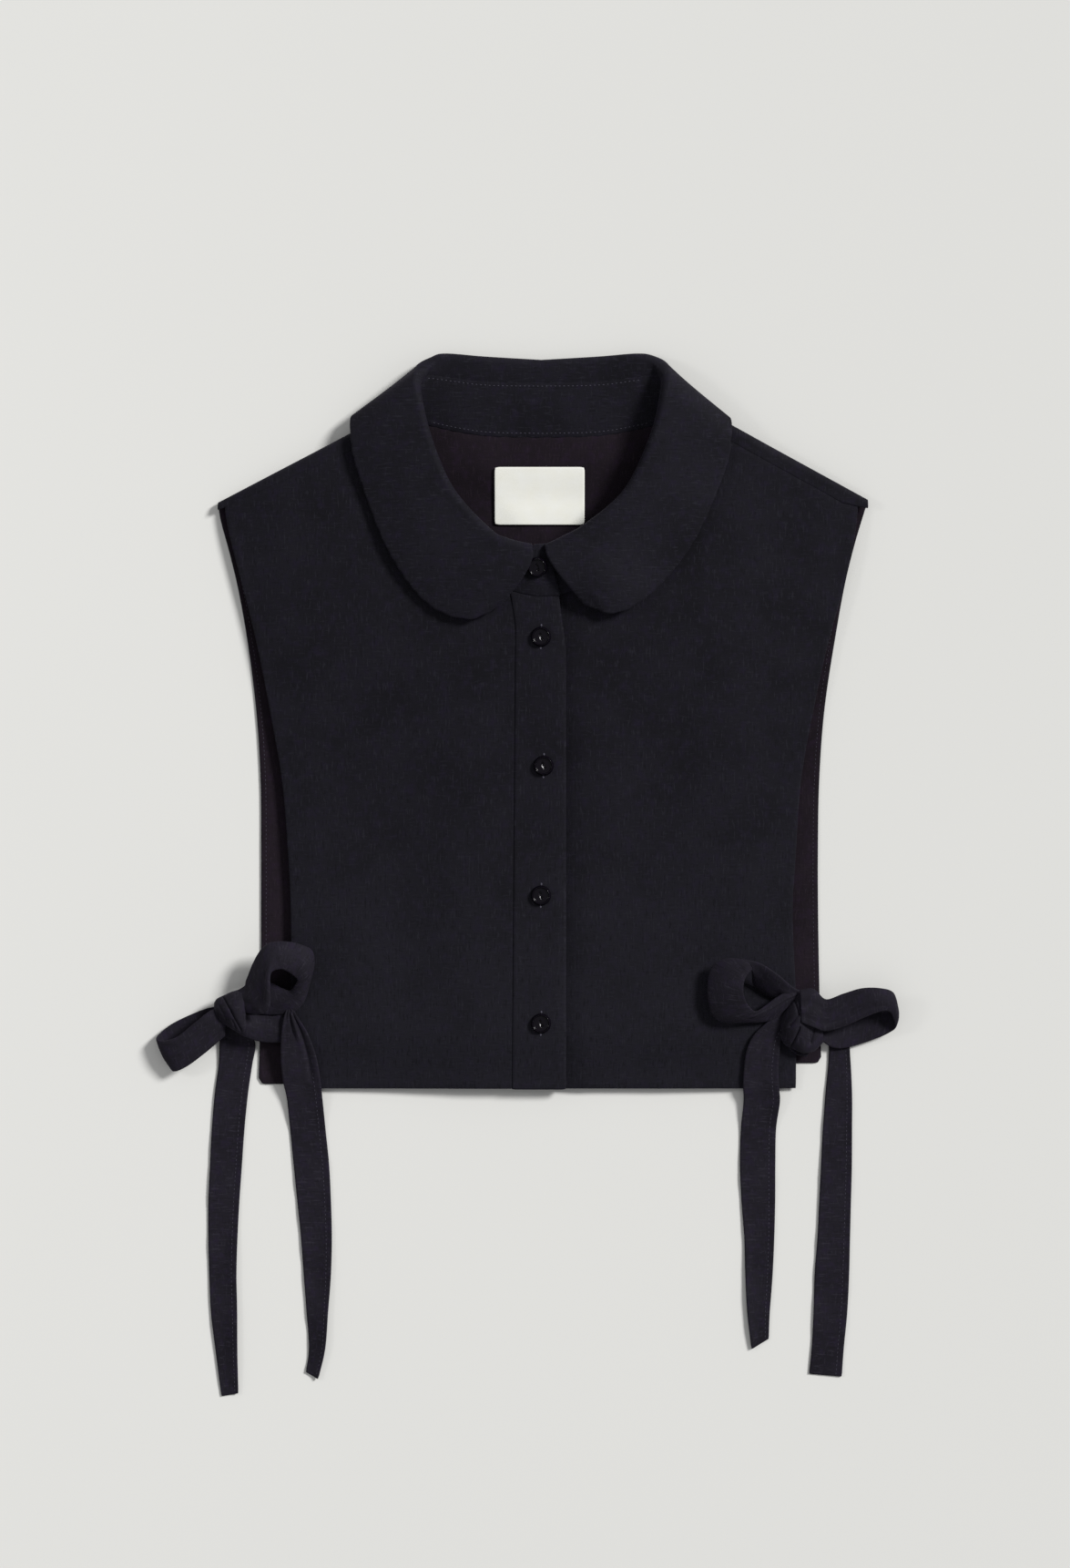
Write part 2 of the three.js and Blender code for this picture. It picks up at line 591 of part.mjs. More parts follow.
const rightInnerLoop = [
  { ax: -0.3, ay: 0.32, az: 0.46, bx: -0.3, by: 0.04, bz: 0.52 },
  { ax: -0.48, ay: 0.38, az: 0.46, bx: -0.48, by: 0.1, bz: 0.53 },
  { ax: -0.76, ay: 0.94, az: 0.52, bx: -0.72, by: 0.64, bz: 0.64 },
  { ax: -1.15, ay: 1.42, az: 0.6, bx: -0.96, by: 1.1, bz: 0.74 },
  { ax: -1.8, ay: 1.52, az: 0.68, bx: -1.4, by: 1.24, bz: 0.8 },
  { ax: -2.42, ay: 1.46, az: 0.72, bx: -1.6, by: 1.06, bz: 0.84 },
  { ax: -2.66, ay: 1.05, az: 0.76, bx: -1.7, by: 0.8, bz: 0.86 },
  { ax: -2.66, ay: 0.4, az: 0.76, bx: -1.7, by: 0.5, bz: 0.84 },
  { ax: -2.4, ay: -0.16, az: 0.7, bx: -1.6, by: 0.24, bz: 0.78 },
  { ax: -1.75, ay: -0.18, az: 0.62, bx: -1.38, by: 0.22, bz: 0.7 },
  { ax: -1.0, ay: -0.06, az: 0.52, bx: -1.0, by: 0.36, bz: 0.58 },
  { ax: -0.56, ay: -0.06, az: 0.42, bx: -0.58, by: 0.28, bz: 0.46 },
  { ax: -0.36, ay: -0.26, az: 0.32, bx: -0.36, by: 0.04, bz: 0.32 },
];
const rightOuterLoop = [
  { ax: 0.36, ay: 0.36, az: 0.52, bx: 0.36, by: -0.26, bz: 0.53 },
  { ax: 1.38, ay: 0.7, az: 0.6, bx: 1.46, by: -0.02, bz: 0.54 },
  { ax: 2.2, ay: 0.7, az: 0.6, bx: 2.26, by: 0.06, bz: 0.54 },
  { ax: 2.5, ay: 0.34, az: 0.36, bx: 2.44, by: -0.3, bz: 0.3 },
  { ax: 2.12, ay: 0.16, az: 0.12, bx: 2.04, by: -0.56, bz: 0.1 },
  { ax: 1.3, ay: 0.0, az: 0.16, bx: 1.25, by: -0.82, bz: 0.15 },
  { ax: 0.84, ay: 0.02, az: 0.2, bx: 0.86, by: -0.76, bz: 0.2 },
  { ax: 0.54, ay: 0.14, az: 0.3, bx: 0.54, by: -0.32, bz: 0.38 },
  { ax: 0.34, ay: 0.2, az: 0.31, bx: 0.34, by: -0.26, bz: 0.36 },
];
const rightFrontRoot = [
  { ax: -0.26, ay: 0.5, az: 0.105, bx: -0.26, by: -0.5, bz: 0.105 },
  { ax: -0.05, ay: 0.46, az: 0.11, bx: -0.05, by: -0.46, bz: 0.11 },
  { ax: 0.16, ay: 0.4, az: 0.115, bx: 0.16, by: -0.4, bz: 0.115 },
];
const rightBackRoot = [
  { ax: 0.12, ay: 1.6, az: 0.1, bx: 0.3, by: 1.6, bz: 0.1 },
  { ax: -0.1, ay: 1.1, az: 0.11, bx: 0.5, by: 1.1, bz: 0.11 },
  { ax: -0.1, ay: 0.72, az: 0.16, bx: 0.46, by: 0.72, bz: 0.16 },
];
const rightInnerTail = [
  { ax: -1.0, ay: -0.16, az: 0.36, bx: -0.48, by: -0.3, bz: 0.36 },
  { ax: -1.48, ay: -0.55, az: 0.34, bx: -0.54, by: -0.75, bz: 0.32 },
  { ax: -1.7, ay: -1.3, az: 0.32, bx: -0.66, by: -1.3, bz: 0.26 },
  { ax: -1.76, ay: -2.0, az: 0.36, bx: -0.72, by: -2.0, bz: 0.27 },
  { ax: -1.8, ay: -3.3, az: 0.03, bx: -0.85, by: -3.3, bz: 0.03 },
  { ax: -1.78, ay: -5.13, az: 0.03, bx: -0.88, by: -5.13, bz: 0.03 },
  { ax: -1.7, ay: -7.1, az: 0.03, bx: -0.94, by: -7.1, bz: 0.08 },
  { ax: -1.55, ay: -9.08, az: 0.03, bx: -1.03, by: -8.88, bz: 0.1 },
];
const rightOuterTail = [
  { ax: 0.26, ay: -0.2, az: 0.12, bx: 0.82, by: -0.3, bz: 0.1 },
  { ax: 0.5, ay: -0.75, az: 0.12, bx: 1.12, by: -0.8, bz: 0.08 },
  { ax: 0.6, ay: -1.4, az: 0.04, bx: 1.23, by: -1.4, bz: 0.06 },
  { ax: 0.48, ay: -2.9, az: 0.03, bx: 1.23, by: -2.9, bz: 0.06 },
  { ax: 0.36, ay: -4.9, az: 0.03, bx: 1.2, by: -4.9, bz: 0.03 },
  { ax: 0.24, ay: -6.9, az: 0.03, bx: 1.15, by: -6.9, bz: 0.03 },
  { ax: 0.14, ay: -8.8, az: 0.03, bx: 1.02, by: -8.8, bz: 0.03 },
  { ax: 0.08, ay: -9.8, az: 0.03, bx: 0.95, by: -9.83, bz: 0.03 },
];

function bows() {
  return [
    knotSleeve("left_knot", knotLeft, 31, 0.72, 1.15, 0.4, 0.36),
    strap("left_upper_loop", knotLeft, leftUpperLoop, 20),
    strap("left_outer_loop", knotLeft, leftOuterLoop, 14),
    strap("left_front_tie_root", knotLeft, leftFrontRoot, 4),
    strap("left_back_tie_root", knotLeft, leftBackRoot, 4),
    strap("left_outer_tail", knotLeft, leftOuterTail, 12),
    strap("left_inner_tail", knotLeft, leftInnerTail, 14),
    knotSleeve("right_knot", knotRight, 8, 0.8, 1.3, 0.46, 0.425),
    strap("right_inner_loop", knotRight, rightInnerLoop, 20),
    strap("right_outer_loop", knotRight, rightOuterLoop, 14),
    strap("right_front_tie_root", knotRight, rightFrontRoot, 4),
    strap("right_back_tie_root", knotRight, rightBackRoot, 4),
    strap("right_inner_tail", knotRight, rightInnerTail, 14),
    strap("right_outer_tail", knotRight, rightOuterTail, 12),
  ];
}

const collar = new THREE.Group();
collar.name = "detachable_collar";
collar.add(backPanel());
collar.add(frontPanel("left_front", -1, placketEdge - placketWidth - gap));
collar.add(frontPanel("right_front", 1, gap - placketEdge));
collar.add(placket());
collar.add(collarStand());
collar.add(collarFall());
collar.add(neckLabel());
collar.add(...buttons());
collar.add(...bows());

export default collar;
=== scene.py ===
"""Detachable collar, laid flat: panels, folded collar, placket, label, buttons and side bows."""
import math

import bpy
import numpy as np
from bpy.props import FloatProperty, FloatVectorProperty, PointerProperty
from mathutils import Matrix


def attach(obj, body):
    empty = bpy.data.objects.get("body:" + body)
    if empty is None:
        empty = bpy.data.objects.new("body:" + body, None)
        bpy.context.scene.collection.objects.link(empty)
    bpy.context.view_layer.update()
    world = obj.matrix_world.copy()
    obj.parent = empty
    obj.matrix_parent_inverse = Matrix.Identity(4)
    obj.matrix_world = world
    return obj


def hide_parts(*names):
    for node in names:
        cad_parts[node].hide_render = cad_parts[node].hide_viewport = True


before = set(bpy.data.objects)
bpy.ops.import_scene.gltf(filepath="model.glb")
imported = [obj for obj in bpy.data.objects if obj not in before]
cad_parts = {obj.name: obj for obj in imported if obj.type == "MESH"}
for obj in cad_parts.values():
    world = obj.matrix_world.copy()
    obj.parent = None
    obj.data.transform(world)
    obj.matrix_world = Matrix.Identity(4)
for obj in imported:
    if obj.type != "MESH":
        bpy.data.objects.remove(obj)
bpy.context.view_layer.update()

bl_info = {
    "name": "Detachable collar",
    "version": (1, 0, 0),
    "blender": (4, 5, 0),
    "location": "View3D > Sidebar > Collar",
    "description": "Builds a sleeveless collar with placket, label, buttons and side ties",
    "category": "Add Mesh",
}

# The garment's lengths are millimetres in its own frame. The sidebar's sizes, the cloths' flat
# sizes, the lights and names that end in _m or _M are metres.
MM = 0.001

# Outline: shoulders and their tips, neckline, hems
HALF_SHOULDER = 178.0
TIP_LEFT = 177.0
TIP_RIGHT = 178.8
NECK_HALF = 78.0
NECK_DEPTH = 98.0
NECK_TOP = 190.0
ARCH_TOP = NECK_TOP - 6.0
HEM = -179.5
BACK_HEM = -177.2
SEAM_GAP = 0.5

# Heights of the cloth over the ground or over what it lies on, and the radius of the fall's turn
BACK_FOOT = 0.6
FRONT_FOOT = 5.2
HEM_RISE = 2.3
CHEST_RISE = 6.4
OVERLAP_LIFT = 2.3
NECK_BACK = 3.3
TURN_RADIUS = 2.6

# Knots, buttons, cloth without a setting, thread
KNOT_LEFT = np.array((-169.7, -138.5, 0.0))
KNOT_RIGHT = np.array((145.2, -141.0, 0.0))
BUTTON_RADIUS = 5.5
PLACKET_CLOTH = 1.7
LABEL_CLOTH = 0.6
STITCH_LENGTH = 1.0
SEAM_STITCH_RADIUS = 0.18
FINE_STITCH_PITCH = 2.3
FINE_STITCH_RADIUS = 0.12

# Camera: its place, the height of its view, and its sensor's width in millimetres
CAMERA_M = (-0.0035, -0.013, 3.0)
VIEW_HEIGHT_M = 0.861
SENSOR = 36.0


# Curves and noise

def smooth(t):
    """Eases from 0 to 1: three squares less two cubes of t, held at both ends."""
    c = np.clip(t, 0.0, 1.0)
    return c * c * (3.0 - 2.0 * c)


def lerp(a, b, t):
    """Straight mix of a and b."""
    return a + (b - a) * t


def curve_through(values, share):
    """Cubic through evenly spaced stations, each slope half the step between its neighbours."""
    v = np.asarray(values, float)
    share = np.asarray(share, float)
    at = np.clip(share, 0.0, 1.0) * (len(v) - 1)
    i = np.minimum(len(v) - 2, np.floor(at).astype(int))
    t = at - i
    e = np.concatenate([[2 * v[0] - v[1]], v, [2 * v[-1] - v[-2]]])
    p0, p1, p2, p3 = e[i], e[i + 1], e[i + 2], e[i + 3]
    return 0.5 * (2 * p1 + (p2 - p0) * t + (2 * p0 - 5 * p1 + 4 * p2 - p3) * t ** 2
                  + (3 * p1 - p0 - 3 * p2 + p3) * t ** 3)


def eased_table(x, xs, ys):
    """Cubic between uneven stations, each slope the mean of the two steps beside it."""
    xs, ys = np.asarray(xs, float), np.asarray(ys, float)
    step = np.diff(ys) / np.diff(xs)
    slope = np.concatenate([[step[0]], (step[1:] + step[:-1]) / 2, [step[-1]]])
    i = np.clip(np.searchsorted(xs, x, side="right") - 1, 0, len(xs) - 2)
    w = xs[i + 1] - xs[i]
    t = np.clip((x - xs[i]) / w, 0.0, 1.0)
    return ((2 * t ** 3 - 3 * t ** 2 + 1) * ys[i] + (t ** 3 - 2 * t ** 2 + t) * w * slope[i]
            + (3 * t ** 2 - 2 * t ** 3) * ys[i + 1] + (t ** 3 - t ** 2) * w * slope[i + 1])


def lattice_noise(x, y, cell, seed):
    """Random heights from -1 to 1 on a square lattice, eased between the lattice points."""
    table = np.random.default_rng(seed).uniform(-1.0, 1.0, (64, 64))
    gx, gy = np.asarray(x) / cell, np.asarray(y) / cell
    ix, iy = np.floor(gx).astype(int), np.floor(gy).astype(int)
    tx, ty = smooth(gx - ix), smooth(gy - iy)
    low = lerp(table[ix % 64, iy % 64], table[(ix + 1) % 64, iy % 64], tx)
    high = lerp(table[ix % 64, (iy + 1) % 64], table[(ix + 1) % 64, (iy + 1) % 64], tx)
    return lerp(low, high, ty)


def walked_along(path):
    """Distance walked along a path of points, 0 at its first point."""
    return np.concatenate([[0.0], np.cumsum(np.linalg.norm(np.diff(path, axis=0), axis=1))])


def drape(x, y):
    """Soft unevenness that all layers of the front share: long vertical waves and low dimples."""
    waves = 0.22 * np.sin(x / 13.0 + 0.6 * np.sin(y / 60.0)) * smooth((y + 190.0) / 60.0)
    dimples = 0.35 * lattice_noise(x, 0.55 * y, 34.0, 3) + 0.14 * lattice_noise(x, 0.6 * y, 13.0, 5)
    return waves + dimples


# Meshes

def put_mesh(name, verts, faces, uv, finish):
    """Makes a smooth mesh object: corners in millimetres, faces as an array or a list, and one uv
    a corner or None."""
    mesh = bpy.data.meshes.new(name)
    faces = faces if isinstance(faces, list) else faces.tolist()
    mesh.from_pydata((np.asarray(verts) * MM).tolist(), [], faces)
    mesh.polygons.foreach_set("use_smooth", np.ones(len(mesh.polygons), bool))
    if uv is not None:
        corner = np.empty(len(mesh.loops), np.int32)
        mesh.loops.foreach_get("vertex_index", corner)
        layer = mesh.uv_layers.new(name="weave")
        layer.data.foreach_set("uv", (np.asarray(uv, float)[corner] * MM).ravel())
    mesh.update()
    obj = bpy.data.objects.new(name, mesh)
    bpy.context.scene.collection.objects.link(obj)
    mesh.materials.append(finish)
    return obj


def unit(v):
    """Each row of vectors made one long."""
    return v / np.maximum(np.linalg.norm(v, axis=-1, keepdims=True), 1e-9)


def grid_faces(rows, cols, keep=None, ring=False):
    """Four-cornered faces between neighbouring points of a grid, the last column joined round."""
    index = np.arange(rows * cols).reshape(rows, cols)
    if ring:
        index = np.concatenate([index, index[:, :1]], axis=1)
    cells = np.stack([index[:-1, :-1], index[:-1, 1:], index[1:, 1:], index[1:, :-1]], -1)
    return cells.reshape(-1, 4) if keep is None else cells[keep]


def point_normals(points, faces):
    """Normal of each point: the sum of its faces' diagonals crossed, made one long."""
    facing = np.cross(points[faces[:, 2]] - points[faces[:, 0]],
                      points[faces[:, 3]] - points[faces[:, 1]])
    total = np.zeros_like(points)
    np.add.at(total, faces.ravel(), np.repeat(unit(facing), 4, axis=0))
    return unit(total)


def cloth(name, grid, thickness, uv, finish, keep=None, ring=False, rounds=4):
    """Closed cloth round a grid of middle points.

    The two faces stand half the thickness off each point along its normal. Round every open
    edge goes a half circle of the same radius, from the upper face to the lower one.
    """
    rows, cols = grid.shape[:2]
    points = grid.reshape(-1, 3)
    half = np.broadcast_to(np.asarray(thickness, float) / 2, (rows, cols)).reshape(-1, 1)
    faces = grid_faces(rows, cols, keep, ring)
    normal = point_normals(points, faces)
    a = faces.ravel()
    b = np.roll(faces, -1, axis=1).ravel()
    count = len(points)
    open_edge = ~np.isin(a * count + b, b * count + a)
    a, b = a[open_edge], b[open_edge]
    out = np.zeros_like(points)
    aside = unit(np.cross(points[b] - points[a], normal[a] + normal[b]))
    np.add.at(out, a, aside)
    np.add.at(out, b, aside)
    out = unit(out)
    edge = np.unique(np.concatenate([a, b]))
    slot_of = np.full(count, -1)
    slot_of[edge] = np.arange(len(edge))
    verts = [points + normal * half, points - normal * half]
    rings = [edge]
    base = 2 * count
    for k in range(1, rounds):
        angle = math.pi * (0.5 - k / rounds)
        verts.append(points[edge] + half[edge] * (normal[edge] * math.sin(angle)
                                                  + out[edge] * math.cos(angle)))
        rings.append(base + np.arange(len(edge)))
        base += len(edge)
    rings.append(count + edge)
    rim = [np.stack([rings[k][slot_of[b]], rings[k][slot_of[a]],
                     rings[k + 1][slot_of[a]], rings[k + 1][slot_of[b]]], -1)
           for k in range(rounds)]
    verts = np.concatenate(verts)
    flat_uv = np.asarray(uv, float).reshape(-1, 2)
    all_uv = np.concatenate([flat_uv, flat_uv] + [flat_uv[edge]] * (rounds - 1))
    all_faces = np.concatenate([faces, faces[:, ::-1] + count] + rim)
    used = np.unique(all_faces)
    renumber = np.full(len(verts), -1)
    renumber[used] = np.arange(len(used))
    return put_mesh(name, verts[used], renumber[all_faces], all_uv[used], finish)


def arc_uv(grid):
    """Distances walked over the grid: along the rows' run for u, down the columns' for v."""
    across = np.linalg.norm(np.diff(grid, axis=1), axis=-1).mean(axis=0)
    down = np.linalg.norm(np.diff(grid, axis=0), axis=-1).mean(axis=1)
    u = np.concatenate([[0.0], np.cumsum(across)])
    v = np.concatenate([[0.0], np.cumsum(down)])
    return np.stack(np.meshgrid(u, v), -1)


def stitches(name, path, normal, finish, pitch=FINE_STITCH_PITCH, radius=FINE_STITCH_RADIUS,
             skip=None):
    """Row of thread dashes on a path.

    Places are spaced by the pitch along the path's length. Each dash is a six-sided bar of five
    rings, thin at both ends and thickest in the middle.
    """
    walked = walked_along(path)
    at = np.arange(pitch / 2, walked[-1], pitch)
    centre = np.stack([np.interp(at, walked, path[:, k]) for k in range(3)], -1)
    ahead = np.stack([np.interp(at + 0.3, walked, path[:, k])
                      - np.interp(at - 0.3, walked, path[:, k]) for k in range(3)], -1)
    up = np.stack([np.interp(at, walked, normal[:, k]) for k in range(3)], -1)
    if skip is not None:
        wanted = ~skip(centre)
        centre, ahead, up = centre[wanted], ahead[wanted], up[wanted]
    ahead, up = unit(ahead), unit(up)
    beside = unit(np.cross(up, ahead))
    up = np.cross(ahead, beside)
    along = np.array((-1.0, -0.8, 0.0, 0.8, 1.0))
    swell = np.array((0.25, 0.8, 1.0, 0.8, 0.25))
    turn = np.arange(6) * math.pi / 3
    local = (along[:, None, None] * STITCH_LENGTH / 2 * ahead[:, None, None, :]
             + swell[:, None, None] * radius * (np.cos(turn)[:, None] * beside[:, None, None, :]
                                                + np.sin(turn)[:, None] * up[:, None, None, :]))
    verts = (centre[:, None, None, :] + local).reshape(-1, 3)
    side = grid_faces(5, 6, ring=True)[:, ::-1]
    caps = np.array(((0, 1, 2, 3), (3, 4, 5, 0), (27, 26, 25, 24), (24, 29, 28, 27)))
    one = np.concatenate([side, caps])
    faces = (one[None] + 30 * np.arange(len(centre))[:, None, None]).reshape(-1, 4)
    uv = np.tile(np.stack(np.meshgrid(turn, along), -1).reshape(-1, 2), (len(centre), 1))
    return put_mesh(name, verts, faces, uv, finish)


def settle(obj, slot, *nodes):
    """Every piece rides on the one body and hides the solids it stands for; the finish named by
    slot is not used.
    """
    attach(obj, "root")
    if nodes:
        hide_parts(*nodes)
    return obj


# Finishes

def shader(name, base, roughness, specular, **sockets):
    """New material with one shader; extra sockets are set by their names with spaces as _."""
    mat = bpy.data.materials.new(name)
    mat.use_nodes = True
    tree = mat.node_tree
    tree.nodes.clear()
    out = tree.nodes.new("ShaderNodeOutputMaterial")
    bsdf = tree.nodes.new("ShaderNodeBsdfPrincipled")
    tree.links.new(bsdf.outputs[0], out.inputs[0])
    bsdf.inputs["Base Color"].default_value = (*base, 1.0)
    bsdf.inputs["Roughness"].default_value = roughness
    bsdf.inputs["Specular IOR Level"].default_value = specular
    for key, value in sockets.items():
        bsdf.inputs[key.replace("_", " ")].default_value = value
    return mat, tree, bsdf


def node(tree, kind, **values):
    """New node with its settings and its input values."""
    n = tree.nodes.new(kind)
    for key, value in values.items():
        if key in n.inputs:
            n.inputs[key].default_value = value
        else:
            setattr(n, key, value)
    return n


def scaled(tree, source, scale):
    """The pattern's coordinates, stretched."""
    m = node(tree, "ShaderNodeMapping", Scale=scale)
    tree.links.new(source, m.inputs["Vector"])
    return m.outputs[0]


def weave_place(tree):
    """Place on the piece's own cloth, in millimetres."""
    uv = node(tree, "ShaderNodeUVMap", uv_map="weave").outputs[0]
    return scaled(tree, uv, (1000.0, 1000.0, 1000.0))


def mixed(tree, a, b, share):
    """Colour mix; a and b are colours or sockets, share a number or a socket."""
    m = node(tree, "ShaderNodeMix", data_type="RGBA")
    for socket, value in ((m.inputs[0], share), (m.inputs[6], a), (m.inputs[7], b)):
        if isinstance(value, bpy.types.NodeSocket):
            tree.links.new(value, socket)
        elif socket.type == "RGBA":
            socket.default_value = (*value, 1.0)
        else:
            socket.default_value = value
    return m.outputs[2]


def sums(tree, operation, a, b):
    """One step of arithmetic on two numbers or sockets."""
    m = node(tree, "ShaderNodeMath", operation=operation)
    for socket, value in zip(m.inputs, (a, b)):
        if isinstance(value, bpy.types.NodeSocket):
            tree.links.new(value, socket)
        else:
            socket.default_value = value
    return m.outputs[0]


def ramp(tree, source, low, high):
    """Eased 0 to 1 while the source goes from low to high."""
    m = node(tree, "ShaderNodeMapRange", interpolation_type="SMOOTHSTEP",
             **{"From Min": low, "From Max": high})
    tree.links.new(source, m.inputs["Value"])
    return m.outputs[0]


def bumped(tree, bsdf, height, strength, depth_m):
    """Relief on the shader's normal from a height."""
    bump = node(tree, "ShaderNodeBump", Strength=strength, Distance=depth_m)
    tree.links.new(height, bump.inputs["Height"])
    tree.links.new(bump.outputs[0], bsdf.inputs["Normal"])


def crepe(name, tone, grain="down", sheen_weight=0.04, specular=0.12, wool=1.0):
    """Black crepe: crossing threads, pebbled crimp, short slubs both ways, mottled dye, painted
    light that lightens it a little towards the hem, sheen."""
    mat, tree, bsdf = shader(name, tone, 0.8, specular, Sheen_Weight=sheen_weight,
                             Sheen_Roughness=0.45, Sheen_Tint=(0.66, 0.55, 0.82, 1.0))
    mm = weave_place(tree)
    threads = [node(tree, "ShaderNodeTexWave", wave_type="BANDS", bands_direction=d, Scale=0.62,
                    Distortion=1.2, Detail=1.0) for d in ("X", "Y")]
    pebble = node(tree, "ShaderNodeTexNoise", Scale=1.1, Detail=3.0, Roughness=0.6)
    mottle = node(tree, "ShaderNodeTexNoise", Scale=0.16, Detail=4.0, Roughness=0.62)
    dye = node(tree, "ShaderNodeTexNoise", Scale=0.03, Detail=2.0, Roughness=0.5)
    for n in (*threads, pebble, mottle, dye):
        tree.links.new(mm, n.inputs["Vector"])
    long_way = (1.0, 0.16, 1.0) if grain == "down" else (0.16, 1.0, 1.0)
    cross_way = (0.24, 1.0, 1.0) if grain == "down" else (1.0, 0.24, 1.0)
    slubs = []
    for stretch, scale, share in ((long_way, 1.0, 0.8), (cross_way, 0.9, 0.46)):
        streak = node(tree, "ShaderNodeTexNoise", Scale=scale, Detail=2.0, Roughness=0.5)
        tree.links.new(scaled(tree, mm, stretch), streak.inputs["Vector"])
        slubs.append((ramp(tree, streak.outputs["Fac"], 0.58, 0.7),
                      ramp(tree, streak.outputs["Fac"], 0.42, 0.31), share * wool))
    crossing = sums(tree, "MULTIPLY", threads[0].outputs["Fac"], threads[1].outputs["Fac"])
    lighter = (1.65 * tone[0] + 0.001, 1.72 * tone[1] + 0.001, 1.62 * tone[2] + 0.001)
    darker = tuple(0.5 * c for c in tone)
    violet = (1.12 * tone[0], 0.94 * tone[1], 1.36 * tone[2])
    colour = mixed(tree, darker, tone, ramp(tree, dye.outputs["Fac"], 0.2, 0.7))
    colour = mixed(tree, colour, violet, ramp(tree, mottle.outputs["Fac"], 0.45, 0.75))
    parts = node(tree, "ShaderNodeSeparateXYZ")
    tree.links.new(mm, parts.inputs[0])
    # Painted light: lower down the cloth, the colour is mixed more towards the lighter tone,
    # standing in for light that grows towards the hem.
    painted_light_to_hem = ramp(tree, parts.outputs[1], 20.0, -170.0)
    colour = mixed(tree, colour, lighter, sums(tree, "MULTIPLY", painted_light_to_hem, 0.34))
    for slub, hollow, share in slubs:
        colour = mixed(tree, colour, lighter, sums(tree, "MULTIPLY", slub, share))
        colour = mixed(tree, colour, darker, sums(tree, "MULTIPLY", hollow, share))
    colour = mixed(tree, colour, darker, sums(tree, "MULTIPLY", crossing, 0.45))
    tree.links.new(colour, bsdf.inputs["Base Color"])
    height = sums(tree, "ADD", sums(tree, "MULTIPLY", crossing, 0.3),
                  sums(tree, "MULTIPLY", pebble.outputs["Fac"], 0.42))
    for slub, _, _ in slubs:
        height = sums(tree, "ADD", height, sums(tree, "MULTIPLY", slub, 0.35))
    bumped(tree, bsdf, height, 0.5, 0.00022)
    return mat


def satin(name, tone):
    """Bare woven label: fine ribs across, clouds of a slightly warmer white, soft shine."""
    mat, tree, bsdf = shader(name, tone, 0.6, 0.25, Sheen_Weight=0.05, Sheen_Roughness=0.4)
    mm = weave_place(tree)
    ribs = node(tree, "ShaderNodeTexWave", wave_type="BANDS", bands_direction="Y", Scale=0.7,
                Distortion=0.4, Detail=1.0)
    cloudy = node(tree, "ShaderNodeTexNoise", Scale=0.12, Detail=3.0)
    fine = node(tree, "ShaderNodeTexNoise", Scale=2.5, Detail=2.0)
    for n in (ribs, cloudy, fine):
        tree.links.new(mm, n.inputs["Vector"])
    warm = (tone[0] * 0.97, tone[1] * 0.95, tone[2] * 0.86)
    colour = mixed(tree, warm, tone, cloudy.outputs["Fac"])
    colour = mixed(tree, colour, warm, sums(tree, "MULTIPLY", ribs.outputs["Fac"], 0.15))
    tree.links.new(colour, bsdf.inputs["Base Color"])
    height = sums(tree, "ADD", ribs.outputs["Fac"], fine.outputs["Fac"])
    bumped(tree, bsdf, height, 0.4, 0.0001)
    return mat


def thread_finish(name, tone):
    """Twisted thread: diagonal ply lines round each dash."""
    mat, tree, bsdf = shader(name, tone, 0.6, 0.2, Sheen_Weight=0.05)
    coordinates = node(tree, "ShaderNodeTexCoord").outputs["Object"]
    ply = node(tree, "ShaderNodeTexWave", wave_type="BANDS", bands_direction="DIAGONAL",
               Scale=900.0, Distortion=0.5)
    tree.links.new(coordinates, ply.inputs["Vector"])
    colour = mixed(tree, tuple(0.6 * c for c in tone), tone, ply.outputs["Fac"])
    tree.links.new(colour, bsdf.inputs["Base Color"])
    return mat


def polished(name, tone):
    """Polished button: gloss over black, with a fine haze in its gloss and colour."""
    mat, tree, bsdf = shader(name, tone, 0.2, 0.22)
    coordinates = node(tree, "ShaderNodeTexCoord").outputs["Object"]
    haze = node(tree, "ShaderNodeTexNoise", Scale=420.0, Detail=4.0)
    tree.links.new(coordinates, haze.inputs["Vector"])
    spread = node(tree, "ShaderNodeMapRange", **{"To Min": 0.1, "To Max": 0.2})
    tree.links.new(haze.outputs["Fac"], spread.inputs["Value"])
    tree.links.new(spread.outputs[0], bsdf.inputs["Roughness"])
    colour = mixed(tree, tone, tuple(1.5 * c + 0.001 for c in tone), haze.outputs["Fac"])
    tree.links.new(colour, bsdf.inputs["Base Color"])
    return mat


FINISHES = {}


def finishes():
    """The finishes by name, made once."""
    if "crepe" not in FINISHES:
        tones = bpy.context.scene.collar_tones
        FINISHES["crepe"] = crepe("crepe", tuple(tones.crepe), "down")
        collar_tone = tuple(1.12 * c for c in tones.crepe)
        FINISHES["crepe_across"] = crepe("crepe_across", collar_tone, "across")
        FINISHES["crepe_tie"] = crepe("crepe_tie", tuple(tones.tie), "across")
        FINISHES["crepe_inside"] = crepe("crepe_inside", tuple(tones.crepe_inside), "down",
                                         sheen_weight=0.03, specular=0.1, wool=0.6)
        FINISHES["label"] = satin("label", tuple(tones.label))
        FINISHES["thread"] = thread_finish("thread", tuple(tones.thread))
        FINISHES["button"] = polished("button", tuple(tones.button))
    return FINISHES


# Body shapes

